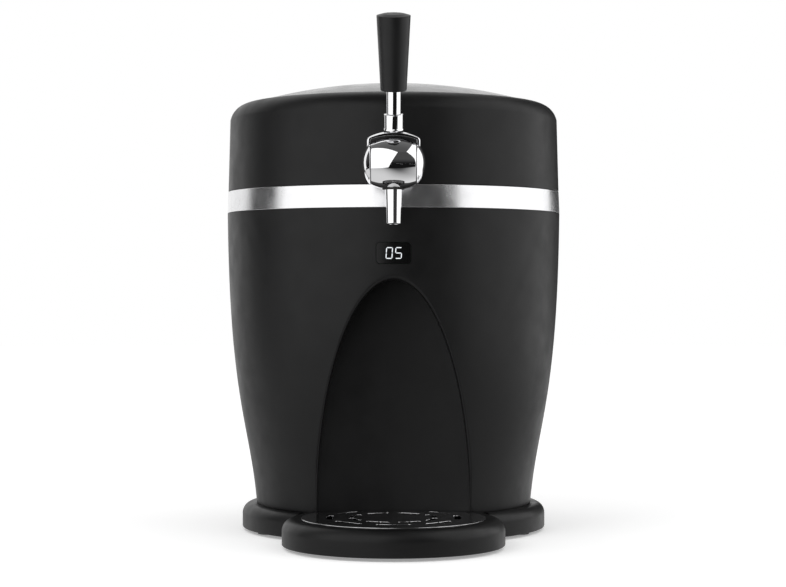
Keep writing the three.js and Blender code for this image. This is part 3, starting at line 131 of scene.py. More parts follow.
# %% Node helpers
def set_inputs(tree, node, inputs):
    """Sets numbers and colours on a node's inputs, and links sockets to them."""
    for name, value in inputs.items():
        if isinstance(value, bpy.types.NodeSocket):
            tree.links.new(value, node.inputs[name])
        else:
            node.inputs[name].default_value = value


def add_node(tree, kind, inputs, **settings):
    node = tree.nodes.new(kind)
    for name, value in settings.items():
        setattr(node, name, value)
    set_inputs(tree, node, inputs)
    return node


def ranged(tree, value, low, high, start=0.3, end=0.7, **settings):
    """Maps the range from start to end to the range from low to high."""
    limits = {"Value": value, "From Min": start, "From Max": end, "To Min": low, "To Max": high}
    return add_node(tree, "ShaderNodeMapRange", limits, **settings).outputs["Result"]


def coordinates(tree, scale=(1, 1, 1)):
    place = add_node(tree, "ShaderNodeTexCoord", {}).outputs["Object"]
    return add_node(tree, "ShaderNodeMapping", {"Vector": place, "Scale": scale}).outputs["Vector"]


def seen_or_mirrored(tree):
    """1 for what the camera sees, also in a mirror or through a clear body, or else 0."""
    rays = add_node(tree, "ShaderNodeLightPath", {}).outputs
    seen = rays["Is Camera Ray"]
    for kind in ("Is Glossy Ray", "Is Transmission Ray"):
        seen = add_node(tree, "ShaderNodeMath", {0: seen, 1: rays[kind]}, operation="MAXIMUM").outputs[0]
    return seen


# %% World: white where it is seen or mirrored, a little softer on the object
WHITE_SEEN, WHITE_LIT = 1.0, 0.8
world = bpy.data.worlds.new("light_tent")
bpy.context.scene.world = world
world.use_nodes = True
tent = world.node_tree
tent.nodes.clear()
strength = ranged(tent, seen_or_mirrored(tent), WHITE_LIT, WHITE_SEEN, 0, 1)
sky = add_node(tent, "ShaderNodeBackground", {"Color": (1, 1, 1, 1), "Strength": strength})
add_node(tent, "ShaderNodeOutputWorld", {"Surface": sky.outputs["Background"]})
print("world at", WHITE_LIT, "on the object")

# %% Lights: one large soft key from the upper left, and a weaker one from the right
CENTRE = Vector((0, -0.04, 0.21))


def softbox(name, place, size, watts):
    light = bpy.data.lights.new(name, "AREA")
    light.shape = "RECTANGLE"
    light.size, light.size_y = size
    light.energy = watts
    lamp = new_object(name, light)
    lamp.location = place
    lamp.rotation_euler = (CENTRE - Vector(place)).to_track_quat("-Z", "Y").to_euler()
    lamp.visible_glossy = False
    print(name, watts, "W")


softbox("key", (-1.3, -1.5, 1.5), (1.2, 1.2), 9)
softbox("fill", (1.5, -1.2, 1.0), (1.0, 1.4), 4)


# %% Cards that glow in a grey
def node_material(name, inputs):
    """A material, its node tree and its Principled shader, with inputs set on the shader."""
    material = bpy.data.materials.new(name)
    material.use_nodes = True
    tree = material.node_tree
    shader = tree.nodes["Principled BSDF"]
    set_inputs(tree, shader, inputs)
    print("material", name)
    return material, tree, shader


def new_mesh(name, bm):
    mesh = bpy.data.meshes.new(name)
    bm.to_mesh(mesh)
    bm.free()
    return mesh


def card_material(name, base, pools=()):
    """A grey that grows along directions: each pool is (direction, start, end, amount)."""
    material, tree, shader = node_material(name, {
        "Base Color": (0, 0, 0, 1), "Specular IOR Level": 0, "Roughness": 1,
        "Emission Color": (1, 1, 1, 1)})
    total = base
    for direction, start, end, amount in pools:
        along = add_node(tree, "ShaderNodeVectorMath", {0: coordinates(tree), 1: direction},
                         operation="DOT_PRODUCT").outputs["Value"]
        pool = ranged(tree, along, 0, amount, start, end, interpolation_type="SMOOTHSTEP")
        total = add_node(tree, "ShaderNodeMath", {0: pool, 1: total}).outputs[0]
    set_inputs(tree, shader, {"Emission Strength": total})
    return material


def card(name, corners, glow):
    """A flat card that only reflections see."""
    bm = bmesh.new()
    bm.faces.new([bm.verts.new(corner) for corner in corners])
    mesh = new_mesh(name, bm)
    mesh.materials.append(glow)
    sheet = new_object(name, mesh)
    sheet.visible_camera = sheet.visible_diffuse = sheet.visible_shadow = False
    sheet.visible_transmission = False


TAP_PLACE = Vector((0, -0.17, 0.309))


def seen_from_tap(bearing, elevation, distance):
    """A point in a direction from the tap. Bearings run from -Y, +X positive, in degrees."""
    b, e = radians(bearing), radians(elevation)
    return TAP_PLACE + distance * Vector((sin(b) * cos(e), -cos(b) * cos(e), sin(e)))


def on_floor(bearing, distance, height):
    """A point at a level distance from the tap, at a height over the floor."""
    b = radians(bearing)
    return Vector((distance * sin(b), TAP_PLACE.y - distance * cos(b), height))


# %% The softboxes, whose slanting edges show in the tap
SOFTBOX_WHITE = 1.3
for side, corners in (
        ("left", ((-11.5, -21.5, 0.8), (11.2, 42.5, 0.8), (-84, 55, 1.0), (-92, -16, 1.0))),
        ("right", ((35.8, 44.3, 0.9), (55, -19, 0.85), (138, -17, 0.9), (118, 62, 0.9)))):
    card(f"{side}_softbox", [seen_from_tap(*corner) for corner in corners],
         card_material(f"{side}_softbox", SOFTBOX_WHITE))

# %% The dark room behind them, open to the white background at the left rear
ROOM_R, ROOM_H, WALL_STEP = 2.4, 2.6, 22
FLOOR_CARD_Z, TABLE_Z = 0.0004, 0.0008
wall = card_material("room_wall", 0.008, [((0, 0, 1), 0.0, 1.0, 0.06)])
bearings = [-118 + WALL_STEP * i for i in range(14)]
for number, (left, right) in enumerate(zip(bearings, bearings[1:]), 1):
    card(f"room_wall_{number}", [on_floor(left, ROOM_R, 0), on_floor(right, ROOM_R, 0),
                                 on_floor(right, ROOM_R, ROOM_H), on_floor(left, ROOM_R, ROOM_H)], wall)
card("room_ceiling", [(-2.6, -2.8, ROOM_H), (2.6, -2.8, ROOM_H), (2.6, 1.2, ROOM_H), (-2.6, 1.2, ROOM_H)],
     card_material("room_ceiling", 0.09, [((0, 1, 0), -1.6, 1.0, 0.075)]))
card("room_floor", [on_floor(a, ROOM_R, FLOOR_CARD_Z) for a in range(-120, 121, 30)],
     card_material("room_floor", 0.008))
# The table card is painted with light: its glow grows towards the back, and two painted pools of light from
# the left and right softboxes lie on it.
card("table", [(-1.5, -0.8, TABLE_Z), (1.5, -0.8, TABLE_Z), (1.5, 0.9, TABLE_Z), (-1.5, 0.9, TABLE_Z)],
     card_material("table", 0.05, [((0, 1, 0), -0.85, -0.3, 0.2), ((-1, 0.5, 0), -0.44, -0.05, 0.44),
                                   ((1, 0.5, 0), -0.22, 0.25, 0.3)]))
print("softboxes, ceiling, floor card, table and", len(bearings) - 1, "wall cards")

# %% Floor, which is white as the camera and mirrors see it
FLOOR_R, FLOOR_LIFT = 6, 0.3
bm = bmesh.new()
bmesh.ops.create_circle(bm, cap_ends=True, segments=64, radius=FLOOR_R)
floor = new_object("floor", new_mesh("floor", bm))
material, tree, shader = node_material("floor_white", {
    "Base Color": (0.93, 0.93, 0.93, 1), "Roughness": 0.9, "Specular IOR Level": 0,
    "Emission Color": (1, 1, 1, 1)})
set_inputs(tree, shader, {"Emission Strength": ranged(tree, seen_or_mirrored(tree), 0, FLOOR_LIFT, 0, 1)})
floor.data.materials.append(material)
print("floor", 2 * FLOOR_R, "m across")

# %% [markdown]
# ## Finishes
# Every finish is built from nodes on Object coordinates, so that it stays put on the part. The
# satin black moulding has a spark-eroded grain: a very fine bump with a roughness that wanders a
# little. Chrome is not a flat mirror either, since faint handling marks change its roughness.


# %% Grain, bump and tint
def noise(tree, vector, size_mm, detail=2.0):
    inputs = {"Vector": vector, "Scale": 1 / (size_mm * MM), "Detail": detail}
    return add_node(tree, "ShaderNodeTexNoise", inputs).outputs["Fac"]


def bumped(tree, shader, height, depth_mm):
    bump = add_node(tree, "ShaderNodeBump", {"Height": height, "Strength": 1, "Distance": depth_mm * MM})
    tree.links.new(bump.outputs["Normal"], shader.inputs["Normal"])


def tinted(tree, shader, value, dark, light):
    """A base colour that runs between two colours."""
    ramp = add_node(tree, "ShaderNodeValToRGB", {"Fac": value})
    for element, colour, position in zip(ramp.color_ramp.elements, (dark, light), (0.3, 0.7)):
        element.color = (*colour, 1)
        element.position = position
    tree.links.new(ramp.outputs["Color"], shader.inputs["Base Color"])


def grained_plastic(name, dark, light, rough, grain_mm=0.5, depth_mm=0.03, wander=0.05, shine=0.5):
    """A moulding with a fine grain, whose colour and roughness wander slightly."""
    material, tree, shader = node_material(name, {"Specular IOR Level": shine})
    vector = coordinates(tree)
    tinted(tree, shader, noise(tree, vector, 40, 3), dark, light)
    marks = noise(tree, vector, 18, 4)
    set_inputs(tree, shader, {"Roughness": ranged(tree, marks, rough - wander, rough + wander)})
    bumped(tree, shader, noise(tree, vector, grain_mm, 1), depth_mm)
    return material


def polished_metal(name, dark, light, rough, wander=0.02, brush=None, depth_mm=0.004):
    """A metal with faint marks. A brush gives the size of its lines along x, y and z, in mm."""
    material, tree, shader = node_material(name, {"Metallic": 1})
    vector = coordinates(tree)
    tinted(tree, shader, noise(tree, vector, 30, 3), dark, light)
    marks = noise(tree, vector, 12, 5)
    set_inputs(tree, shader, {"Roughness": ranged(tree, marks, rough - wander, rough + wander)})
    if brush:
        lines = noise(tree, coordinates(tree, tuple(1 / size for size in brush)), 1, 2)
        bumped(tree, shader, lines, depth_mm)
    return material


# %% Plastics and rubber
satin = grained_plastic("black_satin", (0.0042, 0.0042, 0.0044), (0.0052, 0.0052, 0.0054), 0.42, shine=0.25)
handle_black = grained_plastic("handle_black", (0.005, 0.005, 0.0052), (0.006, 0.006, 0.0063), 0.4, 0.35,
                               shine=0.3)
lid_satin = grained_plastic("lid_satin", (0.006, 0.006, 0.0063), (0.0075, 0.0075, 0.0078), 0.17)
line_tube = grained_plastic("line_tube", (0.62, 0.63, 0.62), (0.7, 0.71, 0.7), 0.22, 12, 0.003, 0.02)
beer_line.data.materials.append(line_tube)
gloss = grained_plastic("black_gloss", (0.004, 0.004, 0.0045), (0.005, 0.005, 0.0055), 0.09, 6, 0.004, 0.03)
pane = grained_plastic("smoked_pane", (0.003, 0.003, 0.003), (0.004, 0.004, 0.004), 0.2, 8, 0.003, 0.02,
                       0.22)
rubber = grained_plastic("rubber", (0.012, 0.012, 0.012), (0.02, 0.02, 0.02), 0.8, 0.8, 0.05)
white_plastic = grained_plastic("white_plastic", (0.72, 0.72, 0.71), (0.78, 0.78, 0.77), 0.45, 0.6)

# %% Metals
chrome = polished_metal("chrome", (0.86, 0.86, 0.87), (0.9, 0.9, 0.91), 0.035, 0.012)
plate_steel = polished_metal("plate_steel", (0.8, 0.8, 0.81), (0.86, 0.86, 0.87), 0.06, 0.02,
                             (90, 0.3, 90), 0.001)
band_steel = polished_metal("band_steel", (0.78, 0.78, 0.79), (0.84, 0.84, 0.85), 0.24, 0.04,
                            (60, 60, 0.16))
plain_steel = polished_metal("plain_steel", (0.55, 0.55, 0.56), (0.65, 0.65, 0.66), 0.3, 0.06,
                             (0.3, 0.3, 6))
alloy = polished_metal("alloy", (0.7, 0.71, 0.72), (0.8, 0.81, 0.82), 0.36, 0.06, (3, 3, 0.2))

# %% Bead foam: white cells pressed together
foam, tree, shader = node_material("bead_foam", {"Roughness": 0.85})
cells = add_node(tree, "ShaderNodeTexVoronoi", {"Vector": coordinates(tree), "Scale": 1 / (3.2 * MM)})
# The beads are painted darker towards their edges, a painted shade in the grooves between them; the bump
# gives the beads their dome.
tinted(tree, shader, cells.outputs["Distance"], (0.82, 0.82, 0.8), (0.7, 0.7, 0.68))
bumped(tree, shader, cells.outputs["Distance"], -0.4)

# %% Circuit board: green solder mask over copper tracks that run in steps
board, tree, shader = node_material("circuit_board", {"Roughness": 0.35})
tracks = add_node(tree, "ShaderNodeTexBrick", {
    "Vector": coordinates(tree), "Scale": 1 / (14 * MM), "Mortar Size": 0.03,
    "Color1": (0.012, 0.1, 0.04, 1), "Color2": (0.015, 0.12, 0.05, 1), "Mortar": (0.05, 0.24, 0.1, 1)})
tree.links.new(tracks.outputs["Color"], shader.inputs["Base Color"])
bumped(tree, shader, tracks.outputs["Fac"], 0.05)

# %% Segments of the display, lit white from behind a diffuser
lit, tree, shader = node_material("lit_segments", {
    "Base Color": (0.2, 0.2, 0.2, 1), "Roughness": 0.4, "Emission Color": (0.9, 0.95, 1, 1)})
glow = noise(tree, coordinates(tree), 1.5, 2)
set_inputs(tree, shader, {"Emission Strength": ranged(tree, glow, 0.85, 1.0)})

# %% The finishes made so far
print("finishes:", ", ".join(m.name for m in bpy.data.materials))

# %% [markdown]
# ## Shared tools
# Profiles and outlines are written in millimetres, as on a drawing, and each finished mesh is
# scaled to metres once. Most of this object is turned round the barrel's axis, so the main tool
# is `bmesh.ops.spin`. Openings are cut with the exact Boolean, which keeps walls closed.

# %% Profiles and outlines
TURN = 2 * pi
FINE = 144  # steps round the barrel
GAP = 0.3  # clearance between two pieces


def arc(centre, radius, start, end, steps):
    """Points on an arc round (r, z), angles in degrees from the outward direction."""
    angles = [radians(start + (end - start) * i / steps) for i in range(steps + 1)]
    return [(centre[0] + radius * cos(a), centre[1] + radius * sin(a)) for a in angles]


def rounded(points, radii, steps=4):
    """A closed outline with its corners rounded. A radius of 0 keeps a corner."""
    outline = []
    for i, (point, radius) in enumerate(zip(points, radii)):
        here = Vector(point)
        before = (Vector(points[i - 1]) - here).normalized()
        after = (Vector(points[(i + 1) % len(points)]) - here).normalized()
        if radius == 0:
            outline.append(tuple(here))
            continue
        half = before.angle(after) / 2
        reach = radius / tan(half)
        middle = here + (before + after).normalized() * radius / sin(half)
        start, end = here + before * reach - middle, here + after * reach - middle
        sweep = start.angle(end)
        for step in range(steps + 1):
            share = step / steps
            spot = (start * sin((1 - share) * sweep) + end * sin(share * sweep)) / sin(sweep)
            outline.append(tuple(middle + spot))
    return outline


def rectangle(left, right, low, high, radii=(0, 0, 0, 0), steps=4):
    return rounded([(left, low), (right, low), (right, high), (left, high)], radii, steps)


# %% Solids from a profile or an outline
def face_outwards(bm):
    bmesh.ops.recalc_face_normals(bm, faces=bm.faces)


def turned(profile, steps=FINE, centre=(0, 0)):
    """A closed profile of (radius, height) spun round a vertical axis."""
    bm = bmesh.new()
    verts = [bm.verts.new((r, 0, z)) for r, z in profile]
    edges = [bm.edges.new(pair) for pair in zip(verts, verts[1:] + verts[:1])]
    bmesh.ops.spin(bm, geom=verts + edges, cent=(0, 0, 0), axis=(0, 0, 1), angle=TURN, steps=steps,
                   use_merge=True)
    bmesh.ops.remove_doubles(bm, verts=bm.verts, dist=1e-4)
    loose = [e for e in bm.edges if not e.link_faces]
    bmesh.ops.delete(bm, geom=loose, context="EDGES")
    face_outwards(bm)
    bmesh.ops.translate(bm, vec=(*centre, 0), verts=bm.verts)
    return bm


def disc(radius, low, high, steps=FINE, centre=(0, 0)):
    return turned(rectangle(0, radius, low, high), steps, centre)


def verts_in(geometry):
    return [g for g in geometry if isinstance(g, bmesh.types.BMVert)]


def bevelled(bm, edges, width, segments):
    if width:
        bmesh.ops.bevel(bm, geom=edges, offset=width, segments=segments, profile=0.5, affect="EDGES",
                        material=-1, clamp_overlap=True)
    return bm


def slab(outline, low, high, edge=0.0, segments=2, upright=True):
    """An outline raised along Z, or along Y if it isn't upright, with its edges bevelled."""
    bm = bmesh.new()
    face = bm.faces.new([bm.verts.new((u, v, low) if upright else (u, low, v)) for u, v in outline])
    grown = bmesh.ops.extrude_face_region(bm, geom=[face])["geom"]
    run = (0, 0, high - low) if upright else (0, high - low, 0)
    bmesh.ops.translate(bm, vec=run, verts=verts_in(grown))
    face_outwards(bm)
    along = 2 if upright else 1
    rims = {e for f in bm.faces if abs(f.normal[along]) > 0.99 for e in f.edges}
    return bevelled(bm, list(rims), edge, segments)


def box(x, y, z, edge=0.0):
    """A block between two limits on each axis, with bevelled edges."""
    bm = bmesh.new()
    bmesh.ops.create_cube(bm, size=1)
    bmesh.ops.scale(bm, vec=[limit[1] - limit[0] for limit in (x, y, z)], verts=bm.verts)
    bmesh.ops.translate(bm, vec=[sum(limit) / 2 for limit in (x, y, z)], verts=bm.verts)
    return bevelled(bm, bm.edges[:], edge, 2)


# %% Place, cut and round them
def placed(bm, angle, axis, place=(0, 0, 0), pivot=(0, 0, 0)):
    """Turns a piece round an axis through a pivot, then moves it."""
    bmesh.ops.rotate(bm, cent=pivot, matrix=Matrix.Rotation(angle, 3, axis), verts=bm.verts)
    bmesh.ops.translate(bm, vec=place, verts=bm.verts)
    return bm


def lying(bm, axis, place=(0, 0, 0)):
    """Lays a piece that was spun round Z along X or Y."""
    return placed(bm, pi / 2, "Y", place) if axis == "X" else placed(bm, -pi / 2, "X", place)


def remove(thing):
    mesh = thing.data
    bpy.data.objects.remove(thing)
    bpy.data.meshes.remove(mesh)


def with_modifiers(thing):
    """The mesh of an object after its modifiers, as a bmesh. The object is removed."""
    mesh = bpy.data.meshes.new_from_object(thing.evaluated_get(bpy.context.evaluated_depsgraph_get()))
    bm = bmesh.new()
    bm.from_mesh(mesh)
    remove(thing)
    bpy.data.meshes.remove(mesh)
    return bm


def combined(bm, others, operation="DIFFERENCE"):
    """bm cut by, joined to or met with the other solids. The others are used up."""
    thing = new_object("temporary", new_mesh("temporary", bm))
    tools = [new_object("tool", new_mesh("tool", other)) for other in others]
    for tool in tools:
        modifier = thing.modifiers.new(operation, "BOOLEAN")
        modifier.operation = operation
        modifier.solver = "EXACT"
        modifier.object = tool
    result = with_modifiers(thing)
    for tool in tools:
        remove(tool)
    return result


def softened(bm, width, segments=2, angle=40):
    """Rounds every edge that is sharper than an angle."""
    thing = new_object("temporary", new_mesh("temporary", bm))
    modifier = thing.modifiers.new("edges", "BEVEL")
    modifier.width = width
    modifier.segments = segments
    modifier.limit_method = "ANGLE"
    modifier.angle_limit = radians(angle)
    modifier.use_clamp_overlap = False
    return with_modifiers(thing)


# %% Finish a piece
SHARP = radians(30)  # edges sharper than this aren't shaded smooth


def finish_piece(name, bm, finish, stands_for="", body="cabinet"):
    """Writes a mesh in metres, gives it its finish and ties it to its body."""
    bmesh.ops.scale(bm, vec=(MM, MM, MM), verts=bm.verts)
    bmesh.ops.dissolve_degenerate(bm, dist=1e-7, edges=bm.edges)
    mesh = new_mesh(name, bm)
    mesh.shade_smooth()
    mesh.set_sharp_from_angle(angle=SHARP)
    mesh.materials.append(finish)
    piece = new_object(name, mesh)
    weighted = piece.modifiers.new("weighted_normals", "WEIGHTED_NORMAL")  # flat faces mirror flatly
    weighted.keep_sharp = True
    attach(piece, body)
    if stands_for:
        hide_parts(stands_for)
    print(name, len(mesh.polygons), "faces")


# %% [markdown]
# ## The barrel
# The side of the barrel is one long curve that leans out from its foot to the steel band. It is
# drawn with four control points. The niche is an upright half ellipse, cut straight back. A Boolean
# would leave a ragged edge there, and the photograph shows a soft one, so the front is grown
# outwards from the arch instead: the arch is a chain of edges, and each ring is extruded from
# the last one, until the rings fill a rectangle. The rest is spun from one of its sides to the other.

# %% The barrel's curve
FOOT_Z, BAND_LOW_Z = 23.5, 274.6
BODY_R, CURVE_STEPS, WALL = 145, 400, 2.5
CURVE = [(119.6, FOOT_Z), (126, 94.2), (143.2, 109.2), (BODY_R, BAND_LOW_Z)]
curve_points = interpolate_bezier(*(Vector((r, z, 0)) for r, z in CURVE), CURVE_STEPS)


def barrel_radius(z):
    """The barrel's outer radius at a height."""
    for low, high in zip(curve_points, curve_points[1:]):
        if high.y >= z:
            share = (z - low.y) / (high.y - low.y)
            return low.x + (high.x - low.x) * max(share, 0)
    return BODY_R


def on_barrel(angle, z, inset=0.0):
    """A point on the barrel, its angle measured from the front towards +X."""
    radius = barrel_radius(z) - inset
    return Vector((radius * sin(angle), -radius * cos(angle), z))


print("radius at the foot and at the niche's top", barrel_radius(FOOT_Z), round(barrel_radius(216.4), 2))

# %% The front of the barrel, grown from the arch
NICHE_HALF_W, NICHE_H = 63.3, 192.9
NICHE_BACK_Y, NICHE_BACK_R = -92.5, 311.5
EDGE_R = 4.0  # soft edge of the niche
FRONT_ANGLE = radians(62)
STATIONS = 96  # along the arch
ARCH_STEPS = 2000  # for its length
FRONT_RINGS = (0.1, 0.16, 0.23, 0.31, 0.4, 0.5, 0.6, 0.7, 0.8, 0.9, 1.0)
BACK_RINGS = (0.03, 0.1, 0.2, 0.3, 0.42, 0.54, 0.66, 0.78, 0.89, 1.0)
ROUND_STEPS = 5
BACK_STEPS = 92  # round the back


def even_arch():
    """Points (x, z) along the arch from its right foot to its left foot, evenly spaced."""
    turns = [pi * i / ARCH_STEPS for i in range(ARCH_STEPS + 1)]
    fine = [Vector((NICHE_HALF_W * cos(a), FOOT_Z + NICHE_H * sin(a))) for a in turns]
    lengths = [0.0]
    for a, b in zip(fine, fine[1:]):
        lengths.append(lengths[-1] + hypot(b.x - a.x, b.y - a.y))
    points, at = [], 0
    for i in range(STATIONS + 1):
        want = lengths[-1] * i / STATIONS
        while at < ARCH_STEPS - 1 and lengths[at + 1] < want:
            at += 1
        share = min((want - lengths[at]) / (lengths[at + 1] - lengths[at]), 1)
        points.append(tuple(fine[at].lerp(fine[at + 1], share)))
    return points


arch = even_arch()
arch_angles = [asin(x / barrel_radius(z)) for x, z in arch]
print(len(arch), "points on the arch")


# %% The front rectangle
def rectangle_end(i):
    """Where the line from the arch's foot through station i leaves the front rectangle."""
    angle, rise = arch_angles[i], arch[i][1] - FOOT_Z
    height = BAND_LOW_Z - FOOT_Z
    scale = min(FRONT_ANGLE / abs(angle) if angle else 1e9, height / rise if rise > 1e-6 else 1e9)
    return angle * scale, FOOT_Z + rise * scale


frame_ends = [rectangle_end(i) for i in range(STATIONS + 1)]


def corner_miss(i):
    """How far from the rectangle's upper corner line i ends, in radians."""
    angle, z = frame_ends[i]
    return abs(angle - FRONT_ANGLE) + abs(z - BAND_LOW_Z) / BODY_R


corner = min(range(STATIONS // 2), key=corner_miss)
for i, side in ((corner, 1), (STATIONS - corner, -1)):
    frame_ends[i] = (side * FRONT_ANGLE, BAND_LOW_Z)
print("the rectangle's upper corners are at stations", corner, "and", STATIONS - corner)


# %% Points on the front, and on the niche's edge, wall and back
def front_point(i, share):
    """Station i, a share of the way from the arch to the rectangle."""
    angle = arch_angles[i] + (frame_ends[i][0] - arch_angles[i]) * share
    return on_barrel(angle, arch[i][1] + (frame_ends[i][1] - arch[i][1]) * share)


def back_y(x):
    return NICHE_BACK_Y - NICHE_BACK_R + sqrt(NICHE_BACK_R ** 2 - x ** 2)


def edge_point(i, turn):
    """The rounded edge of the niche: turn runs from 0 on the barrel to 90 degrees on its wall."""
    rim = on_barrel(arch_angles[i], arch[i][1])
    outward = (front_point(i, 0.06) - rim).normalized()
    radius = min(EDGE_R, 0.45 * (back_y(rim.x) - rim.y))
    return rim + radius * ((1 - sin(turn)) * outward + (1 - cos(turn)) * Vector((0, 1, 0)))


def wall_point(i, share):
    """On the niche's wall, from the end of the rounded edge to the back."""
    start = edge_point(i, pi / 2)
    return Vector((start.x, start.y + (back_y(start.x) - start.y) * share, start.z))


def back_point(i, share):
    """On the hollow back wall, drawn in towards the middle of the niche's foot."""
    x, z = arch[i][0] * (1 - share), FOOT_Z + (arch[i][1] - FOOT_Z) * (1 - share)
    return Vector((x, back_y(x), z))


# %% Grow the front, spin the rest and give it a wall
def grow(bm, station, edges, place):
    """Extrudes a chain of edges and puts each new vertex where place says for its station."""
    grown = bmesh.ops.extrude_edge_only(bm, edges=edges)["geom"]
    verts = set(verts_in(grown))
    for vert in verts:
        vert.co = place(vert[station])
    return [g for g in grown if isinstance(g, bmesh.types.BMEdge) and all(v in verts for v in g.verts)]


def barrel_front():
    """The front rectangle with the niche, and the chain of edges down its right side."""
    bm = bmesh.new()
    station = bm.verts.layers.int.new("station")
    chain = []
    for i in range(STATIONS + 1):
        vert = bm.verts.new(edge_point(i, 0))
        vert[station] = i
        chain.append(vert)
    first = [bm.edges.new(pair) for pair in zip(chain, chain[1:])]
    outer = first
    for share in FRONT_RINGS:
        outer = grow(bm, station, outer, lambda i, s=share: front_point(i, s))
    inner = first
    for step in range(1, ROUND_STEPS + 1):
        inner = grow(bm, station, inner, lambda i, a=pi / 2 * step / ROUND_STEPS: edge_point(i, a))
    for share in (0.5, 1.0):
        inner = grow(bm, station, inner, lambda i, s=share: wall_point(i, s))
    for share in BACK_RINGS:
        inner = grow(bm, station, inner, lambda i, s=share: back_point(i, s))
    side = [e for e in outer if all(0 <= v[station] <= corner for v in e.verts)]
    return bm, side


def body_shell():
    bm, side = barrel_front()
    column = list({v for e in side for v in e.verts})
    bmesh.ops.spin(bm, geom=column + side, cent=(0, 0, 0), axis=(0, 0, 1), angle=TURN - 2 * FRONT_ANGLE,
                   steps=BACK_STEPS)
    bmesh.ops.remove_doubles(bm, verts=bm.verts, dist=0.01)
    face_outwards(bm)
    thing = new_object("temporary", new_mesh("temporary", bm))
    wall = thing.modifiers.new("wall", "SOLIDIFY")
    wall.thickness = WALL
    wall.offset = -1
    wall.use_even_offset = True
    return with_modifiers(thing)


shell = body_shell()
outward = sum(1 for f in shell.faces if f.normal.xy.dot(f.calc_center_median().xy) > 0)
print("barrel shell", len(shell.faces), "faces,", outward, "face outwards")

# %% Cut the rear opening and the display window
REAR_OPENING = (-46, 46), (110, 160), (38, 204)
WINDOW_W, WINDOW_H, WINDOW_Z, WINDOW_CORNER = 28.1, 17.3, 237.9, 3.0


def window_outline(grow_by):
    w, h = WINDOW_W / 2 + grow_by, WINDOW_H / 2 + grow_by
    return rectangle(-w, w, WINDOW_Z - h, WINDOW_Z + h, [WINDOW_CORNER + grow_by] * 4, 5)


shell = combined(shell, [box(*REAR_OPENING),
                         slab(window_outline(GAP), -160, -130, upright=False)])
finish_piece("barrel_shell", shell, satin, "body_shell")

# %% [markdown]
# ## Display
# A smoked pane sits flush in the shell and follows its curve. It is a flat slab that is then bent:
# each vertex moves back onto the barrel. The digits are drawn as seven-segment bars just in front
# of the pane, because segments behind a smoked pane look as if they lay on its surface.

# %% Pane
PANE_DEPTH = 3.2


def bent_on_barrel(bm):
    """Moves vertices that were drawn round the plane y = 0 onto the barrel's curve."""
    for vert in bm.verts:
        x, y, z = vert.co
        radius = barrel_radius(z) - y
        vert.co = (x, -sqrt(radius ** 2 - x ** 2), z)


pane_bm = slab(window_outline(0), 0, PANE_DEPTH, edge=0.35, segments=3, upright=False)
for cut_x in (-10, -5, 0, 5, 10):
    bmesh.ops.bisect_plane(pane_bm, geom=pane_bm.verts[:] + pane_bm.edges[:] + pane_bm.faces[:], dist=1e-5,
                           plane_co=(cut_x, 0, 0), plane_no=(1, 0, 0))
bent_on_barrel(pane_bm)
finish_piece("display_pane", pane_bm, pane, "display_window")

# %% Digits
DIGIT_W, DIGIT_H, STROKE, DIGIT_PITCH, DIGIT_LEAN = 5.5, 9.4, 0.72, 7.5, 0.06
DIGIT_PROUD, DIGIT_DEPTH, BAR_GAP, DIGITS_X = 0.05, 0.15, 0.2, 0.3
SEGMENTS = {"0": "abcdef", "5": "afgcd"}
w, h = DIGIT_W / 2 - STROKE / 2, DIGIT_H / 2 - STROKE / 2
BARS = {"a": ((-w, h), (w, h)), "b": ((w, h), (w, 0)), "c": ((w, 0), (w, -h)), "d": ((-w, -h), (w, -h)),
        "e": ((-w, -h), (-w, 0)), "f": ((-w, 0), (-w, h)), "g": ((-w, 0), (w, 0))}


def bar(bm, start, end, x):
    """One segment with pointed ends, a little proud of the pane."""
    run = Vector((end[0] - start[0], end[1] - start[1])).normalized()
    side = Vector((-run.y, run.x)) * STROKE / 2
    tip = STROKE / 2
    a, b = Vector(start) + run * BAR_GAP, Vector(end) - run * BAR_GAP
    outline = [a, a + run * tip + side, b - run * tip + side, b, b - run * tip - side, a + run * tip - side]
    verts = [bm.verts.new((x + p.x + p.y * DIGIT_LEAN, -DIGIT_PROUD, WINDOW_Z + p.y)) for p in outline]
    grown = bmesh.ops.extrude_face_region(bm, geom=[bm.faces.new(verts)])["geom"]
    bmesh.ops.translate(bm, vec=(0, DIGIT_DEPTH, 0), verts=verts_in(grown))


digits_bm = bmesh.new()
for place, figure in enumerate("05"):
    for segment in SEGMENTS[figure]:
        bar(digits_bm, *BARS[segment], DIGITS_X + (place - 0.5) * DIGIT_PITCH)
face_outwards(digits_bm)
bent_on_barrel(digits_bm)
finish_piece("display_digits", digits_bm, lit)

# %% [markdown]
# ## Band, upper housing and lid
# These are all lathe shapes. The steel band tapers a little, so that it carries the barrel's line
# into the housing. The housing turns over in a wide shoulder and drops to the ledge that the lid
# rests on. A collar hangs in a rebate of the ledge and leads the keg into its well, which sits
# behind the barrel's axis.

# %% Band
BAND = [(143.1, 274.9), (145, 274.9), (144.3, 293.4), (143.1, 293.4)]
finish_piece("steel_band", turned(rounded(BAND, [0, 0.35, 0.35, 0])), band_steel, "trim_band")

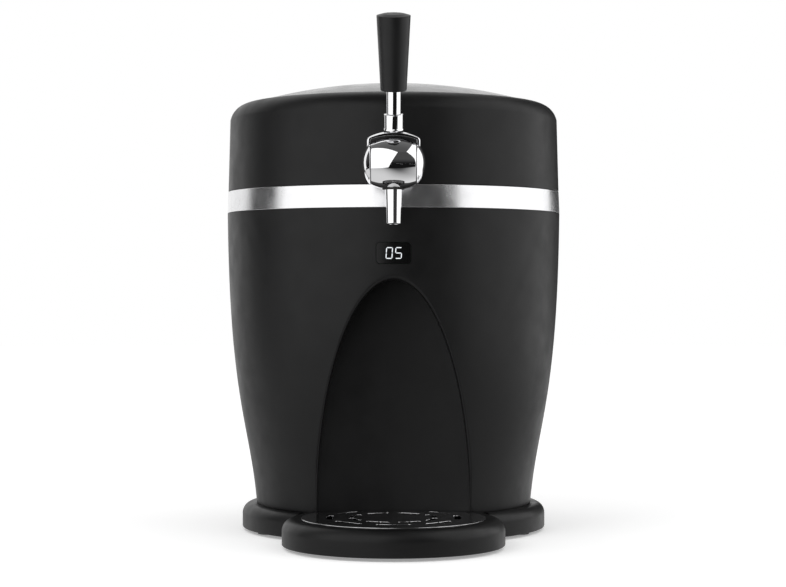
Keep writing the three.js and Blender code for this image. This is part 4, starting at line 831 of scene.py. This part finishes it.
# %% Upper housing
HOUSING_Z, CREST_R, CREST_Z, SHOULDER_R, LEDGE_Z = 293.7, 125, 370, 18, 366.8
TAP_Y, TAP_Z, WELL_Y = -169.4, 308.9, 6
outer = [(141.8, HOUSING_Z), (143.8, HOUSING_Z), (144.25, HOUSING_Z + 0.5)]
outer += arc((CREST_R, CREST_Z - SHOULDER_R), SHOULDER_R, 11.5, 90, 18)
outer += [(123.6, CREST_Z), (123.1, CREST_Z - 0.2), (122.9, CREST_Z - 0.7), (122.9, LEDGE_Z),
          (106, LEDGE_Z), (106, 364.3), (107, 364), (101.5, 364), (101.5, 361.5), (108.5, 361.5),
          (108.5, 364.3), (124, 364.3), (134, 362), (139.8, 353)]
shank_hole = lying(disc(8.3, 130, 160, 32), "Y", (0, -290, TAP_Z))
finish_piece("upper_housing_shell", combined(turned(outer), [shank_hole]), satin, "upper_housing")

# %% Collar
flange = turned(rectangle(60, 105.7, 364.3, LEDGE_Z, [0, 0.3, 0.6, 0]))
wall = turned(rectangle(80, 94.5, 333, 365.5), centre=(0, WELL_Y))
collar = combined(flange, [wall], "UNION")
well = turned([(0, 320), (92, 320), (92, 363.5), (92.9, 366), (95, 367.6), (0, 380)], centre=(0, WELL_Y))
collar = combined(collar, [well, box((-60, 60), (-110, -40), (328, 350))])
finish_piece("collar_ring", collar, satin, "well_collar")

# %% Lid with its knuckle
LID_R, LID_LOW_Z, DOME_R, LID_TOP_Z = 122.6, 367.1, 443.4, 387.5
HINGE_Y, HINGE_Z = 132, 374.9


def dome(inset, out_to, steps):
    """The lid's sphere from the axis out to a radius."""
    radius, centre = DOME_R - inset, LID_TOP_Z - DOME_R
    reach = [out_to * i / steps for i in range(steps + 1)]
    return [(r, centre + sqrt(radius ** 2 - r ** 2)) for r in reach]


lid_profile = dome(0, 121.4, 20) + [(122.15, 370.45), (LID_R, 369.9), (LID_R, LID_LOW_Z)]
lid_profile += [(LID_R - WALL, LID_LOW_Z)] + dome(WALL, LID_R - WALL, 12)[::-1]
lid_bm = turned(lid_profile)
knuckle = turned(rectangle(0, 4, -17, 17, [0, 0.6, 0.6, 0], 3), 32)
knuckle = lying(knuckle, "X", (0, HINGE_Y, HINGE_Z))
arm = box((-17, 17), (115, HINGE_Y), (HINGE_Z - 4, HINGE_Z + 3.9), 0.6)
lid_bm = combined(lid_bm, [arm, knuckle], "UNION")
finish_piece("lid_dome", lid_bm, lid_satin, "lid", "lid")

# %% Lid liner and seal
liner = turned([(0, LID_LOW_Z), (119, LID_LOW_Z), (119, 367.9)] + dome(3.7, 118.6, 8)[::-1])
plug = turned(rounded([(0, 342), (84, 342), (90.2, 368), (0, 368)], [0, 3, 0, 0], 5), centre=(0, WELL_Y))
groove = turned(rectangle(100.7, 105.3, 360, 369.4))
liner = combined(combined(liner, [plug], "UNION"), [groove])
finish_piece("lid_plug", liner, white_plastic, "lid_liner", "lid")
seal = turned(rectangle(101, 105, LID_LOW_Z, 369.1, [0.9, 0.9, 0, 0]), 120)
finish_piece("lid_gasket", seal, rubber, "lid_seal", "lid")

# %% [markdown]
# ## Plinth, drip tray and grille
# The tray docks in a notch that has the barrel's own curve, and its floor runs on into the niche.
# The same docking solid, grown by a different clearance each time, cuts the plinth, the tray, its
# basin and the grille, so that all their edges stay parallel.

# %% The docking solid
FOOT_R = 120
TRAY_Y, TRAY_R, TRAY_TOP_Z, DOCK_GAP = -142.7, 90.2, 24, 0.4
TRAY_ROUND, TRAY_RIM = 10, 2.5  # the rounding of its upper edge, and the rim round the grille
GRILLE_R, GRILLE_LOW_Z, GRILLE_TOP_Z = 74.6, 22.2, 24.4


def tray_disc(radius, low, high):
    return disc(radius, low, high, FINE, (0, TRAY_Y))


def dock(inset, low=-20, high=60):
    """The barrel's foot less the niche: what the tray keeps clear of, by an inset."""
    foot = disc(FOOT_R + inset, low, high)
    half, back_r = NICHE_HALF_W - DOCK_GAP - inset, NICHE_BACK_R - DOCK_GAP - inset
    centre_y = NICHE_BACK_Y - NICHE_BACK_R
    back = [(x, centre_y + sqrt(back_r ** 2 - x ** 2)) for x in (half * (1 - i / 12) for i in range(25))]
    return combined(foot, [slab([(-half, -300), (half, -300)] + back, low - 5, high + 5)])


# %% Plinth
PLINTH_EDGE = (123, 14.2)  # the middle of its rounded edge
plinth_profile = [(129.5, 2.6), (131.5, 2.6), (132, 3.1)] + arc(PLINTH_EDGE, 9, 0, 90, 12)
plinth_profile += [(88, 23.2), (88, 20.7), (123, 20.7)] + arc(PLINTH_EDGE, 6.5, 90, 0, 6)[1:]
notch = combined(tray_disc(TRAY_R + GAP, -20, 60), [dock(-GAP, -30, 70)])
plinth_bm = softened(combined(turned(plinth_profile), [notch]), 0.35)
finish_piece("plinth_ring", plinth_bm, satin, "plinth")

# %% Drip tray
tray_profile = [(0, 2.6), (89.6, 2.6), (TRAY_R, 3.2)]
tray_profile += arc((TRAY_R - TRAY_ROUND, TRAY_TOP_Z - TRAY_ROUND), TRAY_ROUND, 0, 90, 12)
tray_profile.append((0, TRAY_TOP_Z))
tray_bm = combined(turned(tray_profile, FINE, (0, TRAY_Y)), [dock(0)])
hollow = combined(tray_disc(TRAY_R - TRAY_RIM, -5, 14), [dock(TRAY_RIM), tray_disc(77.4, 5.5, 30)])
basin = combined(tray_disc(71, 8, 40), [dock(6.1)])
seat = combined(tray_disc(GRILLE_R + GAP, GRILLE_LOW_Z - GAP, 40), [dock(TRAY_RIM)])
slot_room = box((-48.3, 48.3), (-215.3, 0), (-5, 5.5))
tray_bm = softened(combined(tray_bm, [hollow, basin, seat, slot_room]), 0.45)
finish_piece("tray_moulding", tray_bm, satin, "drip_tray", "tray")


# %% Grille with its arc slots
SLOT_HALF = pi / 14  # half of a slot's angle
SLOT_PLACES = 8  # round each ring
SLOT_RINGS = [(34, 4.6, pi / 8), (52, 5, 0)]  # radius, width, turn


def arc_slot(radius, width, middle):
    """Outline of a curved slot with round ends, centred on the tray."""
    sweep = [middle - SLOT_HALF + 2 * SLOT_HALF * i / 12 for i in range(13)]
    points = []
    for side, along, end, turn in ((width / 2, sweep, middle + SLOT_HALF, 0),
                                   (-width / 2, sweep[::-1], middle - SLOT_HALF, pi)):
        points += [((radius + side) * cos(a), (radius + side) * sin(a)) for a in along]
        for a in (end + turn + pi * i / 8 for i in range(1, 8)):
            points.append((radius * cos(end) + width / 2 * cos(a), radius * sin(end) + width / 2 * sin(a)))
    return [(x, y + TRAY_Y) for x, y in points]


slots = []
for radius, width, turn in SLOT_RINGS:
    for i in range(SLOT_PLACES):
        middle = turn + i * TURN / SLOT_PLACES
        if abs(middle - pi / 2) > 0.1:  # no slot at the back
            slots.append(slab(arc_slot(radius, width, middle), 15, 30))
print(len(slots), "slots")
grille_bm = combined(tray_disc(GRILLE_R, GRILLE_LOW_Z, GRILLE_TOP_Z), [dock(TRAY_RIM + GAP)])
grille_bm = softened(combined(grille_bm, slots), 0.25, 3)
finish_piece("grille_plate", grille_bm, plate_steel, "drip_grille", "grille")

# %% [markdown]
# ## The ball tap
# A crowned drum lies across the tap, closed by two caps that are slices of one ball. The lever's
# yoke is a strap over the drum that lands on both caps, so caps, yoke, rod and handle turn as one.
# They are drawn upright round the drum's centre and leaned forward together by 15 degrees.

# %% Drum
BALL_R, DRUM_HALF_W, DRUM_MID_R, DRUM_END_R = 25.4, 17.9, 21.45, 17.6
TAP = (0, TAP_Y, TAP_Z)


def crown(mid_r, end_r, half_w, steps):
    """Points (radius, x) of a crowned drum's side, from its left end to its right end."""
    sag = mid_r - end_r
    radius = (half_w ** 2 + sag ** 2) / (2 * sag)
    reach = asin(half_w / radius)
    angles = [-reach + 2 * reach * i / steps for i in range(steps + 1)]
    return [(mid_r - radius + radius * cos(a), radius * sin(a)) for a in angles]


side = crown(DRUM_MID_R, DRUM_END_R, DRUM_HALF_W, 24)
drum_bm = lying(turned([(0, -DRUM_HALF_W)] + side + [(0, DRUM_HALF_W)], 96), "X", TAP)
recess = disc(9.05, 280, 289.8, 48, (0, TAP_Y))
drum_bm = softened(combined(drum_bm, [recess]), 0.4, 3)
finish_piece("drum_casting", drum_bm, chrome, "tap_drum")

# %% Spout with its seal, and the rosette behind the drum
SPOUT_TOP_Z, SPOUT_END_Z, SPOUT_LEAN = 288.9, 260.3, radians(4)
spout_outline = [(5.15, SPOUT_TOP_Z), (6.85, SPOUT_TOP_Z), (5.9, SPOUT_END_Z), (4.2, SPOUT_END_Z)]
spout_bm = turned(rounded(spout_outline, [0, 0.3, 0.5, 0.4], 3), 64)
placed(spout_bm, -SPOUT_LEAN, "X", (0, TAP_Y, 0), (0, 0, SPOUT_TOP_Z))
finish_piece("spout_tube", spout_bm, chrome, "spout")

gasket = turned(rectangle(7.2, 8.75, 287.8, 289.5, [0.4, 0.4, 0, 0]), 48, (0, TAP_Y))
finish_piece("spout_gasket", gasket, rubber, "spout_seal")

rosette = rounded([(8.3, -0.5), (14.5, -0.5), (14.5, 3.2), (8.3, 3.9)], [0, 0.4, 1.6, 0.3], 5)
rosette_bm = placed(turned(rosette, 72), pi / 2, "X", (0, -144, TAP_Z))
finish_piece("tap_rosette", rosette_bm, chrome, "tap_escutcheon")


# %% Caps at the drum's ends
LEAN = radians(15)
CAP_INNER = DRUM_HALF_W + GAP


def leaned(bm):
    return placed(bm, LEAN, "X", TAP)


reach = asin(CAP_INNER / BALL_R)
ball = [(BALL_R * cos(a), BALL_R * sin(a)) for a in (reach + (pi / 2 - reach) * i / 24 for i in range(25))]
rim = ball[0][0]
cap_profile = [(0, CAP_INNER), (rim - 0.5, CAP_INNER), (rim - 0.05, CAP_INNER + 0.35)] + ball[1:]
for side_name, sign in (("left", -1), ("right", 1)):
    cap_bm = lying(turned(cap_profile, 96), "X")
    if sign < 0:
        bmesh.ops.scale(cap_bm, vec=(-1, 1, 1), verts=cap_bm.verts)
        face_outwards(cap_bm)
    finish_piece(f"ball_cap_{side_name}", leaned(cap_bm), chrome, f"side_cap_{side_name}", "lever")

# %% [markdown]
# The strap's section changes on its way over the drum: crowned on top, flat with small fillets on
# the cheeks. So one section is drawn as a ring of edges and extruded from station to station, each
# time onto that station's own section. The caps' own ball cuts its two feet.

# %% Strap over the drum
STRAP_HALF, SLEEVE_TOP = 5, 39.3
CROWN_R, CHEEK_FILLET = 17, 1.6  # the outer side from front to back, on top and on its cheeks
ACROSS = (-5, -4.92, -4.7, -4.4, -4, -3.4, -2, 0, 2, 3.4, 4, 4.4, 4.7, 4.92, 5)


def strap_drop(y, on_top):
    """How far the outer side lies under its highest line, blended from cheek to top."""
    into = max(0, abs(y) - STRAP_HALF + CHEEK_FILLET)
    fillet = CHEEK_FILLET - sqrt(max(0, CHEEK_FILLET ** 2 - into ** 2))
    return on_top * (CROWN_R - sqrt(CROWN_R ** 2 - y ** 2)) + (1 - on_top) * fillet


def section(outside, inside, on_top):
    """The strap's closed section at a station."""
    outside, inside = Vector((outside[0], 0, outside[1])), Vector((inside[0], 0, inside[1]))
    inward = (inside - outside).normalized()
    points = [outside + inward * strap_drop(y, on_top) + Vector((0, y, 0)) for y in ACROSS]
    return points + [inside + Vector((0, y, 0)) for y in (STRAP_HALF, -STRAP_HALF)]


# each station: (x, z) outside, (x, z) inside, and how far it belongs to the top
cheek = [((-21.2, 12), (-18.5, 12), 0), ((-21.2, 15), (-18.5, 15), 0), ((-21.2, 18.2), (-18.5, 18), 0),
         ((-21.1, 19.5), (-18.5, 19), 0), ((-20.75, 20.6), (-18.4, 19.6), 0.3),
         ((-20.2, 21.4), (-18.2, 20), 0.7)]
over = crown(26.2, 22, 19.4, 20)
under = crown(23.2, 20.2, DRUM_HALF_W, 20)
top = [((x, r), (inner_x, inner_r), 1) for (r, x), (inner_r, inner_x) in zip(over, under)]
stations = cheek + top + [((-o[0], o[1]), (-i[0], i[1]), t) for o, i, t in reversed(cheek)]
strap = bmesh.new()
number_in_ring = strap.verts.layers.int.new("number_in_ring")
ring = [strap.verts.new(point) for point in section(*stations[0])]
for number, vert in enumerate(ring):
    vert[number_in_ring] = number
first = [strap.edges.new(pair) for pair in zip(ring, ring[1:] + ring[:1])]
last = first
for station in stations[1:]:
    last = grow(strap, number_in_ring, last, lambda i, points=section(*station): points[i])
for rim in (first, last):
    bmesh.ops.edgeloop_fill(strap, edges=rim)
face_outwards(strap)
room_r = BALL_R + GAP
ball_side = [(room_r * sin(pi * i / 48), -room_r * cos(pi * i / 48)) for i in range(1, 48)]
caps_room = turned([(0, -room_r)] + ball_side + [(0, room_r)], 96)
caps_room = combined(caps_room, [box((-DRUM_HALF_W, DRUM_HALF_W), (-30, 30), (-30, 30))])
strap = softened(combined(strap, [caps_room]), 0.22, 3)
neck = rounded([(0, 24.6), (4, 24.6), (4, 26.8), (8.2, 26.8), (8.2, 27.7), (7.75, 28.4),
                (7.75, SLEEVE_TOP), (0, SLEEVE_TOP)], [0, 0, 0, 0.3, 0.3, 0, 0.45, 0], 3)
yoke_bm = combined(strap, [turned(neck, 64)], "UNION")
finish_piece("yoke_strap", leaned(yoke_bm), chrome, "lever_yoke", "lever")

# %% Rod and handle
ROD_LOW, HANDLE_LOW = SLEEVE_TOP + GAP, 58.2
rod = turned(rectangle(0, 5.85, ROD_LOW, HANDLE_LOW - GAP, [0, 0.3, 0.3, 0], 3), 64)
finish_piece("lever_stem", leaned(rod), chrome, "lever_rod", "lever")

handle_profile = rounded([(0, HANDLE_LOW), (10.35, HANDLE_LOW), (13.4, 117.2), (8.5, 118.6), (0, 119.2)],
                         [0, 0.9, 0.45, 8, 0], 5)
finish_piece("handle_cone", leaned(turned(handle_profile, 96)), handle_black, "tap_handle", "lever")

# %% [markdown]
# ## Rear: cover, inlet, switch and screws
# The cover is a shallow box that meets the barrel's curve. Its louvres let the fan blow the heat
# out. Small boxy parts keep the shape of their CAD nodes: a copy of each is merged, its flat faces
# are joined up again, and its edges get a small radius, as a moulding has.

# %% Rear cover
COVER_HALF_W, COVER_LOW_Z, COVER_HIGH_Z, COVER_Y, FAN_Z = 60, 32, 258, 148, 152
LOUVRE_PITCH = 9
THROUGH_BACK = (140, 155)  # the reach in y of what cuts through the cover's back
SCREWS = [(x, z) for x in (-52, 52) for z in (42, 248)]


def barrel_solid(inset, low, high):
    """The barrel's space, its side drawn in by an inset."""
    heights = [low + (high - low) * i / 24 for i in range(25)]
    side = [(barrel_radius(min(max(z, FOOT_Z), BAND_LOW_Z)) - inset, z) for z in heights]
    return turned([(0, low)] + side + [(0, high)])


def cover_outline(inset):
    w, low, high = COVER_HALF_W - inset, COVER_LOW_Z + inset, COVER_HIGH_Z - inset
    return rectangle(-w, w, low, high, [10 - inset] * 4, 8)


cover_bm = slab(cover_outline(0), 90, COVER_Y, edge=2.2, segments=5, upright=False)
inner_box = slab(cover_outline(WALL), 80, COVER_Y - WALL, upright=False)
louvres = [FAN_Z + LOUVRE_PITCH * i for i in range(-4, 5)]
openings = [box((-42, 42), THROUGH_BACK, (z - 2, z + 2)) for z in louvres]
openings += [box((13.7, 38.3), THROUGH_BACK, (44.2, 59.8)),  # power inlet
             box((-33.4, -18.6), THROUGH_BACK, (42.1, 61.9))]  # switch
cover_bm = combined(cover_bm, [inner_box])
bosses = [lying(disc(4, 90, 147, 32), "Y", (x, 0, z)) for x, z in SCREWS]
cover_bm = combined(cover_bm, bosses, "UNION")
screw_hole = [(0, 80), (1.8, 80), (1.8, 146.1), (3.3, 146.1), (3.3, 160), (0, 160)]
openings += [lying(turned(screw_hole, 32), "Y", (x, 0, z)) for x, z in SCREWS]
cover_bm = combined(cover_bm, [barrel_solid(-GAP, 20, 276)] + openings)
finish_piece("vented_cover", cover_bm, satin, "rear_cover")

# %% Cover screws with a cross recess
screw = rounded([(0, 120), (1.5, 120), (1.5, 146.2), (3, 146.2), (3, 147.6), (0, 147.7)],
                [0, 0, 0, 0, 0.4, 0], 3)
for number, (x, z) in enumerate(SCREWS, 1):
    cross = [box((x - w, x + w), (146.8, 149), (z - h, z + h)) for w, h in ((1.6, 0.35), (0.35, 1.6))]
    head = combined(lying(turned(screw, 32), "Y", (x, 0, z)), cross)
    finish_piece(f"cover_screw_head_{number}", head, plain_steel, f"cover_screw_{number}")

# %% Boxy parts with their edges rounded
for node, width, finish in (("power_inlet", 0.35, satin), ("switch_frame", 0.35, satin),
                            ("switch_rocker", 0.3, gloss), ("hinge_bracket", 0.5, satin),
                            ("fan_frame", 0.4, satin), ("base_plate", 0.3, satin)):
    bm = bmesh.new()
    bm.from_mesh(frame["nodes"][node].data)
    bmesh.ops.scale(bm, vec=[1 / MM] * 3, verts=bm.verts)
    bmesh.ops.remove_doubles(bm, verts=bm.verts, dist=1e-3)
    bmesh.ops.dissolve_limit(bm, angle_limit=radians(1), verts=bm.verts, edges=bm.edges)
    body = frame["nodes"][node]["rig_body"]
    finish_piece(f"{node}_finished", softened(bm, width, angle=35), finish, node, body)

# %% Feet
FEET = [(116 * cos(radians(a)), 116 * sin(radians(a))) for a in (-24, 204, 50, 130)] + [(0, -198)]
for number, place in enumerate(FEET, 1):
    pad = turned(rectangle(0, 10, 0, 3.4, [0, 0.9, 0.3, 0]), 48, place)
    dish = turned([(0, -2), (6.5, -2), (6.2, 0.5), (0, 0.7)], 48, place)
    finish_piece(f"rubber_foot_{number}", combined(pad, [dish]), rubber, f"foot_{number}")

# %% [markdown]
# ## Inside the well
# With the lid open, the cold sleeve, its foam, the cradle and the beer line show. The sleeve is
# deep drawn aluminium with a brushed grain, and the foam round it is moulded from beads.

# %% Sleeve and cradle
sleeve_profile = [(0, 33.5), (88.5, 33.5), (90, 35), (90, 331.7), (89.7, 332), (88.8, 332), (88.5, 331.7),
                  (88.5, 37.5), (86, 35), (0, 35)]
sleeve_bm = combined(turned(sleeve_profile, FINE, (0, WELL_Y)), [box((-60, 60), (-120, -20), (293.1, 340))])
finish_piece("cold_sleeve", sleeve_bm, alloy, "keg_sleeve")
cradle = turned(rectangle(62, 84, 35.3, 40, [0, 0, 1, 1]), 96, (0, WELL_Y))
finish_piece("cradle_ring", cradle, satin, "keg_cradle")

# %% [markdown]
# ## The nodes that stay
# Inner pieces whose CAD shape is right keep it and only get their finish.

# %% Finishes of the remaining nodes
KEPT = {foam: ["insulation_sleeve"], board: ["control_board", "power_board"],
        rubber: ["display_module", "shank_washer", "temp_sensor"], satin: ["keg_adaptor", "fan_rotor"],
        white_plastic: ["adaptor_clip", "cooling_module"], alloy: ["cold_block", "heat_sink"],
        plain_steel: ["tap_shank", "shank_nut", "valve_core", "hose_clip", "hinge_pin", "base_screw_1",
                      "base_screw_2", "base_screw_3", "base_screw_4"]}
for finish, nodes in KEPT.items():
    for node in nodes:
        materials = frame["nodes"][node].data.materials
        materials.clear()
        materials.append(finish)
print(sum(len(nodes) for nodes in KEPT.values()), "nodes keep their CAD shape")
